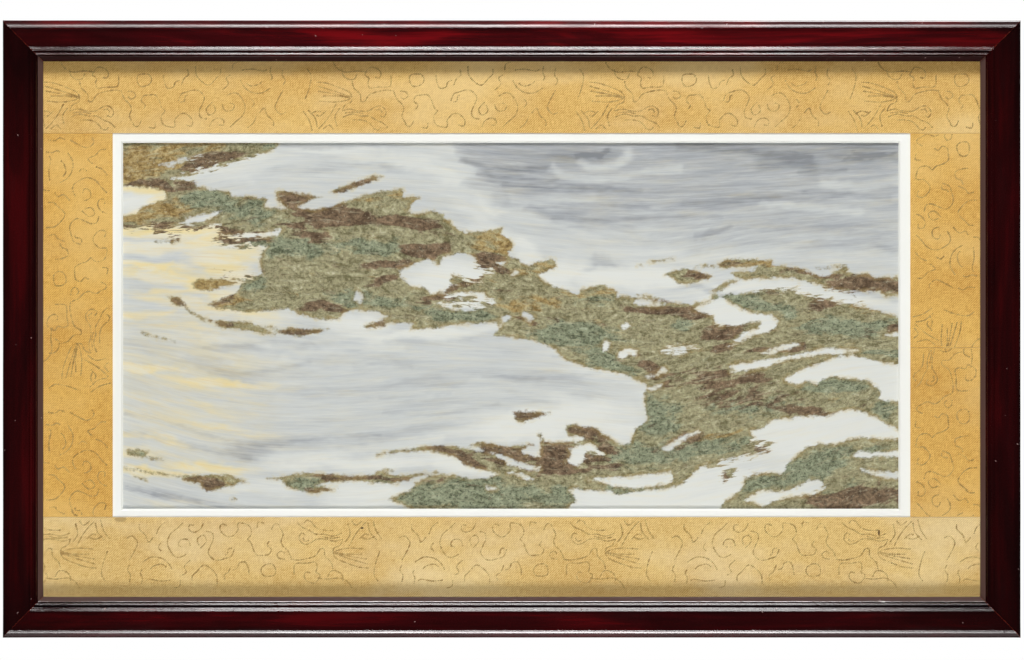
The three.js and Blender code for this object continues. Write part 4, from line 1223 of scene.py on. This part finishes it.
def distance_to(points, line, closed=False):
    """The distance of every point to a line of straight stretches, or FAR where it is well away."""
    ends = np.array(line, float)
    near = np.all((points > ends.min(0) - FAR) & (points < ends.max(0) + FAR), axis=1)
    starts = np.roll(ends, 1, 0) if closed else ends[:-1]
    ends = ends if closed else ends[1:]
    close = points[near]
    nearest = np.full(len(close), np.inf)
    for a, b in zip(starts, ends):
        way = b - a
        share = np.clip((close - a) @ way / max(way @ way, 1e-9), 0, 1)
        nearest = np.minimum(nearest, np.hypot(*(close - a - share[:, None] * way).T))
    distances = np.full(len(points), FAR)
    distances[near] = np.minimum(nearest, FAR)
    return distances


def distance_to_stroke(points, line):
    """The distance of every point to a smooth line through the given points."""
    return distance_to(points, [tuple(p) for p in smooth_run(line, 3)])


def depth_inside(points, outline):
    """How far in from an outline each point lies, negative outside."""
    x, y = points.T
    inside = np.zeros(len(points), bool)
    for (ax, ay), (bx, by) in zip(outline, outline[1:] + outline[:1]):
        if ay != by:
            crosses = (ay > y) != (by > y)
            inside ^= crosses & (x < (bx - ax) * (y - ay) / (by - ay) + ax)
    return np.where(inside, 1, -1) * distance_to(points, outline, closed=True)


def soft(values, low, high):
    """0 below low, 1 above high and smooth between."""
    share = np.clip((values - low) / (high - low), 0, 1)
    return share * share * (3 - 2 * share)


def pushed(points, length, reach, seed):
    """The points pushed about by smooth noise, so that what is drawn on them has no even outline."""
    shifts = [noise.noise_vector(Vector((x / length, 2.2 * y / length, seed)))[:2] for x, y in points]
    return points + np.array(shifts) * reach


def washes(points, spots):
    """The strongest of a list of soft, tilted ovals at each point."""
    most = np.zeros(len(points))
    for x, y, length, height, tilt, strength in spots:
        right, down = (points - (x, y)).T
        cos, sin = math.cos(math.radians(tilt)), math.sin(math.radians(tilt))
        reach = np.hypot((right * cos + down * sin) / length, (down * cos - right * sin) / height)
        most = np.maximum(most, strength * soft(-reach, -1.35, -0.35))
    return most


def marks(points, lines):
    """The sum of soft brush marks, light ones below 0 and dark ones above."""
    total = np.zeros(len(points))
    for strength, half_width, line in lines:
        near = distance_to_stroke(points, line)
        total += strength * soft(-near, -2.6 * half_width, -0.3 * half_width)
    return total


def dip_along(x, knots):
    """A smooth dip through the knots, each place the mean of its neighbourhood."""
    across, dips = zip(*knots)
    return np.mean([np.interp(x + shift, across, dips) for shift in range(-28, 29, 7)], axis=0)


def figure_values(points):
    """Every field of the stone's figure at the given points, by name."""
    noise.seed_set(FIGURE_SEED)
    x, y = points.T
    ground = depth_inside(points, HILLS)
    for outline in CLEARINGS:
        ground = np.minimum(ground, -depth_inside(points, outline))
    for outline in ISLANDS:
        ground = np.maximum(ground, depth_inside(points, outline))
    for half_width, line in VEINS:
        ground = np.maximum(ground, half_width - distance_to_stroke(points, line))
    above = soft(-y, -120, -50)
    below = soft(y, 170, 250)
    dip = dip_along(x, HILL_DIP) * (1 - above - below)
    dip += dip_along(x, SKY_DIP) * above + dip_along(x, WATER_DIP) * below
    loose = pushed(pushed(points, 34, (13, 6), 3.0), 9, (5, 2), 8.0)
    brushed = pushed(points, 10, (4, 2.5), 5.0)
    smoke = CALCITE_GREY * (1 - washes(loose, WHITE_WASHES))
    sky = soft(depth_inside(loose, SKY), -18, 14)
    smoke = np.maximum(smoke, (SKY_GREY - 0.0022 * np.maximum(y, 0)) * sky)
    smoke += 0.32 * washes(loose, SMOKE_WASHES)
    smoke += 0.34 * marks(brushed, SKY_MARKS) + 0.3 * marks(brushed, WATER_MARKS)
    values = {"ground": ground, "level": y - dip, "run": x, "smoke": smoke}
    for name, spots in TINTS.items():
        values[name] = washes(loose, spots)
    return values


def marble_shape(low, high, spacing):
    """The slab, its face divided finely enough to hold the figure."""
    shape = front_grid(low, high, spacing)
    rim = [e for e in shape.edges if e.is_boundary]
    grown = bmesh.ops.extrude_edge_only(shape, edges=rim)
    bmesh.ops.translate(shape, vec=(0, high.y - low.y, 0), verts=new_points(grown))
    rear_rim = [e for e in shape.edges if e.is_boundary]
    bmesh.ops.contextual_create(shape, geom=rear_rim)
    bmesh.ops.recalc_face_normals(shape, faces=shape.faces[:])
    return shape


def marble(look):
    """Polished marble: clouded calcite with iron stains, and streaked olive ground with ragged edges."""
    paint = Paint("figured_marble", Roughness=0.32, Specular_IOR_Level=0.4)
    place = paint.place()
    spread = {"X": paint.attribute("run"), "Y": paint.attribute("level"), "Z": 0.0}
    layers = paint.node("CombineXYZ", spread).outputs[0]

    def layered(along, across, seed, detail=5.0, roughness=0.62, distortion=0.4):
        """Noise drawn out along the marble's layers."""
        drawn = paint.mapped(layers, (along, across, 1), location=(0, 0, seed))
        return paint.noise(drawn, 1.0, detail, roughness, distortion)

    # The ragged edge between ground and calcite
    ragged = paint.noise(place, 420.0, 4.0, 0.62)
    ground = paint.sum(paint.attribute("ground"), paint.swing(ragged, 6.5))
    ground = paint.sum(ground, paint.swing(layered(0.12, 0.34, 1), 5.5))
    shreds = paint.scaled(layered(0.07, 0.36, 2), 60.0, -28.0)
    ground = paint.sum(ground, paint.times(paint.attribute("crumbs"), shreds))
    is_ground = paint.step(ground, -1.5, 1.4)

    # The calcite: smoke drawn out in streaks, then rust and a stain along the ground's edge
    streaks = paint.swing(layered(0.022, 0.42, 3, 6.0, 0.65), 1.5)
    wisps = paint.swing(layered(0.008, 0.1, 4, 4.0, 0.55), 1.1)
    drift = paint.sum(streaks, wisps)
    drift = paint.sum(drift, paint.swing(layered(0.05, 1.1, 5, 3.0, 0.6), 0.6))
    smoke = paint.attribute("smoke")
    cloud = paint.sum(smoke, paint.times(drift, paint.scaled(smoke, 0.58, 0.17)))
    calcite = paint.ramp(cloud, (0.0, look.white), (0.34, "#c8cccb"), (0.64, "#a9adb1"), (1.0, look.grey))
    rust = paint.sum(paint.attribute("ochre"), paint.scaled(layered(0.02, 0.16, 6), 1.1, -0.68))
    rust = paint.step(rust, -0.3, 1.1)
    creamy = paint.step(layered(0.022, 0.09, 13), 0.42, 0.62)
    calcite = paint.over(calcite, paint.mix(creamy, look.ochre, "#ece3c4"), rust, 0.85)
    deep = paint.times(rust, paint.step(layered(0.016, 0.5, 7), 0.54, 0.7))
    calcite = paint.over(calcite, "#cda85c", deep, 0.3)
    patchy = paint.noise(place, 150.0, 3.0, 0.6)
    halo = paint.times(paint.step(ground, -3.6, -0.8), paint.step(patchy, 0.42, 0.62))
    calcite = paint.over(calcite, "#d6c793", halo, 0.4)

    # The ground: khaki, tinted gold, green and brown along its layers
    grainy = paint.noise(place, 620.0, 4.0, 0.72)
    mottle = layered(0.08, 0.14, 8, 6.0, 0.7, 1.2)
    tone = paint.sum(paint.scaled(mottle, 1.3, -0.16), paint.swing(grainy, 0.85))
    earth = paint.ramp(tone, (0.3, "#6c6747"), (0.48, look.olive), (0.62, "#aba681"), (0.8, "#cdc8ab"))

    def tinted(name, share, spread, reach, low, high):
        """Where the earth takes a tint: the drawn washes, broken up by layered noise."""
        tint = paint.sum(paint.scaled(paint.attribute(name), share), paint.swing(spread, reach))
        return paint.step(tint, low, high)

    golden = tinted("gold", 0.66, layered(0.05, 0.17, 9), 1.9, 0.16, 0.56)
    gilt = paint.ramp(tone, (0.3, "#7b5c2c"), (0.5, "#a98a50"), (0.8, "#d2bd86"))
    earth = paint.over(earth, gilt, golden, 0.75)
    mossy = tinted("green", 0.76, layered(0.05, 0.11, 10, 5.0, 0.6, 0.8), 1.8, 0.16, 0.56)
    moss = paint.ramp(tone, (0.25, "#434b38"), (0.5, look.green), (0.8, "#aab397"))
    earth = paint.over(earth, moss, mossy, 0.82)
    brownish = tinted("brown", 0.92, layered(0.045, 0.13, 11, 5.0, 0.6, 0.8), 1.9, 0.18, 0.46)
    umber = paint.ramp(tone, (0.28, "#493629"), (0.5, look.brown), (0.8, "#a1856a"))
    earth = paint.over(earth, umber, brownish, 0.92)

    # Pale layers, a gold rim, dark crystals and light flecks
    earth = paint.over(earth, "#c2bd9f", paint.step(layered(0.05, 0.34, 12), 0.55, 0.7), 0.5)
    rim = paint.times(paint.step(ground, 4.5, 0.4), paint.step(patchy, 0.35, 0.6))
    earth = paint.over(earth, "#9a8450", rim, 0.6)
    crystals = paint.step(paint.drawn(place, (760, 1, 1050), 2.0, 0.5), 0.57, 0.66)
    earth = paint.mix(paint.times(crystals, paint.scaled(mossy, 0.5, 0.22)), earth, "#2f372b")
    flecks = paint.step(paint.noise(paint.mapped(place, location=(3, 0, 5)), 820.0, 2.0), 0.62, 0.74)
    earth = paint.over(earth, "#cfcab0", flecks, 0.38)

    base = paint.mix(is_ground, calcite, earth)
    pits = paint.step(paint.cells(place, 42.0).outputs["Distance"], 0.016, 0.008)
    base = paint.over(base, "#5a4a38", pits, 0.8)
    normal = paint.bump(paint.sum(paint.scaled(is_ground, 0.4), grainy), 0.01 * MM)
    return paint.finish(Base_Color=base, Normal=normal)


class DREAMSTONE_OT_marble(bpy.types.Operator):
    """Build the polished marble panel with its natural figure"""

    bl_idname = "dreamstone.marble"
    bl_label = "Marble panel"

    def execute(self, context):
        look = context.scene.dreamstone_stone
        shape = marble_shape(*STONE_BOX, look.spacing)
        panel = new_piece("figured_marble_panel", shape, marble(look))
        x, _, z = np.array([v.co[:] for v in panel.data.vertices]).T
        points = np.stack([(x - WINDOW_LEFT) / FIGURE_UNIT, (WINDOW_TOP - z) / FIGURE_UNIT], axis=1)
        for name, values in figure_values(points).items():
            add_point_values(panel.data, name, values)
        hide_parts("marble_panel")
        return {"FINISHED"}


# The mat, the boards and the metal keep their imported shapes


def mat_board():
    """White mat board with a faint tooth."""
    paint = Paint("white_mat_board", Roughness=0.85, Specular_IOR_Level=0.2)
    place = paint.place()
    fibres = paint.drawn(place, (900, 900, 900), 4.0, 0.6)
    base = paint.mix(paint.step(paint.noise(place, 9.0, 3.0), 0.35, 0.7), "#f9faf5", "#f5f5ee")
    base = paint.over(base, "#d9d8d0", fibres, 0.12)
    return paint.finish(Base_Color=base, Normal=paint.bump(fibres, 0.02 * MM))


def plywood():
    """Thin backing plywood: open grain along the board and handling stains."""
    paint = Paint("backing_plywood", Roughness=0.8, Specular_IOR_Level=0.25)
    place = paint.place()
    rings = paint.bands(paint.mapped(place, (0.9, 1, 7)), "Z", 1.6, 9.0, 3.0, 1.3)
    pores = paint.drawn(place, (60, 1, 2400), 4.0, 0.7)
    figure = paint.sum(paint.scaled(pores, 0.5), paint.scaled(paint.drawn(place, (3, 1, 12), 3.0), 0.42))
    tone = paint.sum(paint.scaled(rings, 0.2), figure)
    base = paint.ramp(tone, (0.3, "#7d5b38"), (0.55, "#a98456"), (0.85, "#caa677"))
    stains = paint.step(paint.noise(place, 14.0, 5.0, 0.6), 0.56, 0.72)
    base = paint.over(base, "#6f5638", stains, 0.35)
    return paint.finish(Base_Color=base, Normal=paint.bump(pores, 0.08 * MM))


def softwood():
    """Sawn softwood for the packing boards."""
    paint = Paint("packing_softwood", Roughness=0.85, Specular_IOR_Level=0.2)
    grain = paint.drawn(paint.place(), (14, 300, 300), 5.0, 0.6, 0.4)
    base = paint.ramp(grain, (0.3, "#a07c4f"), (0.6, "#c9a877"), (0.8, "#d9bd90"))
    return paint.finish(Base_Color=base, Normal=paint.bump(grain, 0.1 * MM))


def steel():
    """Wire nails and corner nails, bright in places and rusting in others."""
    paint = Paint("nail_steel")
    rust = paint.step(paint.noise(paint.place(), 420.0, 5.0, 0.65), 0.48, 0.62)
    base = paint.mix(rust, "#8f9194", "#6b4a34")
    bright, rough = paint.inverse(rust, 0.85), paint.scaled(rust, 0.35, 0.38)
    normal = paint.bump(rust, 0.03 * MM)
    return paint.finish(Base_Color=base, Metallic=bright, Roughness=rough, Normal=normal)


def brass():
    """Stamped brass that has dulled, with patches of brown tarnish."""
    paint = Paint("dulled_brass", Metallic=1.0)
    place = paint.place()
    tarnish = paint.noise(place, 240.0, 5.0, 0.6)
    scratches = paint.drawn(place, (3000, 300, 400), 2.0)
    base = paint.mix(paint.step(tarnish, 0.4, 0.7), "#b9974a", "#7c6030")
    rough = paint.scaled(tarnish, 0.35, 0.2)
    return paint.finish(Base_Color=base, Roughness=rough, Normal=paint.bump(scratches, 0.01 * MM))


class DREAMSTONE_OT_mat(bpy.types.Operator):
    """Finish the white window mat"""

    bl_idname = "dreamstone.mat"
    bl_label = "Window mat"

    def execute(self, context):
        paint_node("window_mat", mat_board())
        return {"FINISHED"}


class DREAMSTONE_OT_back(bpy.types.Operator):
    """Finish the backing board, the packing boards, the nails and the hangers"""

    bl_idname = "dreamstone.back"
    bl_label = "Back and fittings"

    def execute(self, context):
        board, packing, nail, metal = plywood(), softwood(), steel(), brass()
        finishes = {"backing_board": board, "packing_board": packing, "hanger": metal}
        finishes |= {"panel_pin": nail, "corner_v_nail": nail}
        for name in NODES:
            for start, material in finishes.items():
                if name.startswith(start):
                    paint_node(name, material)
        return {"FINISHED"}


# The studio

SENSOR = 36.0
PICTURE_CENTRE = (0.15 * MM, CENTRE_Z - 0.5 * MM)
LAMP_SIZE = (0.62, 0.34)
GLEAM_SIZE = (0.46, 0.5)
GLEAM_SETBACK = 1.02
BACK_LAMP_SIZE = (0.9, 0.9)
BACK_LAMP_PLACE = (0.5, 1.4, 0.9)
BACK_LAMP_POWER = 16.0
AMBIENT = 0.12
FLOOR_SIZE = 4.0
FLOOR_DROP = 1.6
FLOOR_GLOW = 0.55


def area_lamp(name, place, target, size, power):
    data = bpy.data.lights.new(name, "AREA")
    data.shape = "RECTANGLE"
    data.size, data.size_y = size
    data.energy = power
    lamp = new_object(name, data)
    lamp.location = place
    lamp.rotation_euler = (Vector(target) - Vector(place)).to_track_quat("-Z", "Y").to_euler()
    return lamp


def pale_floor(look):
    """The room's floor, well below a piece that hangs at eye level; it takes the piece's shadow."""
    shape = bmesh.new()
    level = Matrix.Translation((0, 0, CAD_BOX[0].z - FLOOR_DROP))
    bmesh.ops.create_grid(shape, x_segments=1, y_segments=1, size=FLOOR_SIZE / 2, matrix=level)
    mesh = new_mesh("floor", shape)
    paint = Paint("pale_floor", Roughness=0.9, Specular_IOR_Level=0.2, Base_Color=look.floor)
    path = paint.node("LightPath").outputs
    seen = paint.larger(path["Is Camera Ray"], path["Is Glossy Ray"])
    glow = paint.scaled(paint.larger(seen, path["Is Transmission Ray"]), FLOOR_GLOW)
    mesh.materials.append(paint.finish(Emission_Color=look.floor, Emission_Strength=glow))
    new_object("floor", mesh)


def studio_world():
    """White behind the object as the camera and shiny things see it, dim in front, and a low fill."""
    world = bpy.data.worlds.new("studio")
    world.use_nodes = True
    bpy.context.scene.world = world
    net = Net(world.node_tree)
    way = net.node("SeparateXYZ", {0: net.node("TexCoord").outputs["Generated"]}).outputs
    behind = net.node("MapRange", {"Value": way["Y"], "From Min": 0.99, "From Max": 0.998})
    rise = {"Value": way["Z"], "From Min": 0.55, "From Max": 0.98, "To Min": 0.03, "To Max": 0.3}
    overhead = net.node("MapRange", rise, interpolation_type="SMOOTHSTEP")
    around = net.larger(behind.outputs["Result"], overhead.outputs["Result"])
    path = net.node("LightPath").outputs
    shiny = net.larger(path["Is Glossy Ray"], path["Is Transmission Ray"])
    light = net.node("Mix", {0: shiny, 2: AMBIENT, 3: around}).outputs[0]
    background = net.nodes["Background"].inputs
    net.feed(background["Strength"], net.larger(light, path["Is Camera Ray"]))
    net.feed(background["Color"], (1, 1, 1, 1))


class DREAMSTONE_OT_studio(bpy.types.Operator):
    """Set up the floor, the two grazing lamps with their gleam, a lamp for the back and the camera"""

    bl_idname = "dreamstone.studio"
    bl_label = "Studio"

    def execute(self, context):
        scene = context.scene
        look = scene.dreamstone_studio
        pale_floor(look)
        studio_world()
        middle = Vector((0, FRONT_Y, CENTRE_Z))
        out = math.sin(look.lamp_angle) * look.lamp_distance
        up = math.cos(look.lamp_angle) * look.lamp_distance
        for name, rise, power in (("above", up, look.upper_power), ("below", -up, look.lower_power)):
            place = middle + Vector((0, -out, rise))
            area_lamp("lamp_" + name, place, middle, LAMP_SIZE, power)
            gleam = area_lamp("gleam_" + name, place * GLEAM_SETBACK, middle, GLEAM_SIZE, power)
            gleam.visible_diffuse = False
        area_lamp("lamp_behind", middle + Vector(BACK_LAMP_PLACE), middle, BACK_LAMP_SIZE, BACK_LAMP_POWER)
        data = bpy.data.cameras.new("camera")
        data.sensor_width = SENSOR
        data.lens = SENSOR * look.distance / look.width
        data.clip_end = 100.0
        camera = new_object("camera", data)
        x, z = PICTURE_CENTRE
        camera.location = (x, FRONT_Y - look.distance, z)
        camera.rotation_euler = (math.pi / 2, 0, 0)
        scene.camera = camera
        scene.view_settings.view_transform = "Standard"
        return {"FINISHED"}


class DREAMSTONE_PT_panel(bpy.types.Panel):
    """Lists the operators in the order that they run"""

    bl_label = "Dream Stone"
    bl_idname = "DREAMSTONE_PT_panel"
    bl_space_type = "VIEW_3D"
    bl_region_type = "UI"
    bl_category = "Dream Stone"

    def draw(self, context):
        for operator in OPERATORS:
            self.layout.operator(operator.bl_idname)


LOOKS = {
    "dreamstone_lacquer": LacquerLook,
    "dreamstone_silk": SilkLook,
    "dreamstone_stone": StoneLook,
    "dreamstone_studio": StudioLook,
}
OPERATORS = [
    DREAMSTONE_OT_studio,
    DREAMSTONE_OT_frame,
    DREAMSTONE_OT_silk,
    DREAMSTONE_OT_mat,
    DREAMSTONE_OT_marble,
    DREAMSTONE_OT_back,
]
CLASSES = [*LOOKS.values(), *OPERATORS, DREAMSTONE_PT_panel]


def register():
    for made in CLASSES:
        bpy.utils.register_class(made)
    for name, look in LOOKS.items():
        setattr(bpy.types.Scene, name, bpy.props.PointerProperty(type=look))


def unregister():
    for name in LOOKS:
        delattr(bpy.types.Scene, name)
    for made in reversed(CLASSES):
        bpy.utils.unregister_class(made)


def main():
    """Builds everything in order."""
    register()
    for operator in OPERATORS:
        group, name = operator.bl_idname.split(".")
        getattr(getattr(bpy.ops, group), name)()


if __name__ == "__main__":
    main()
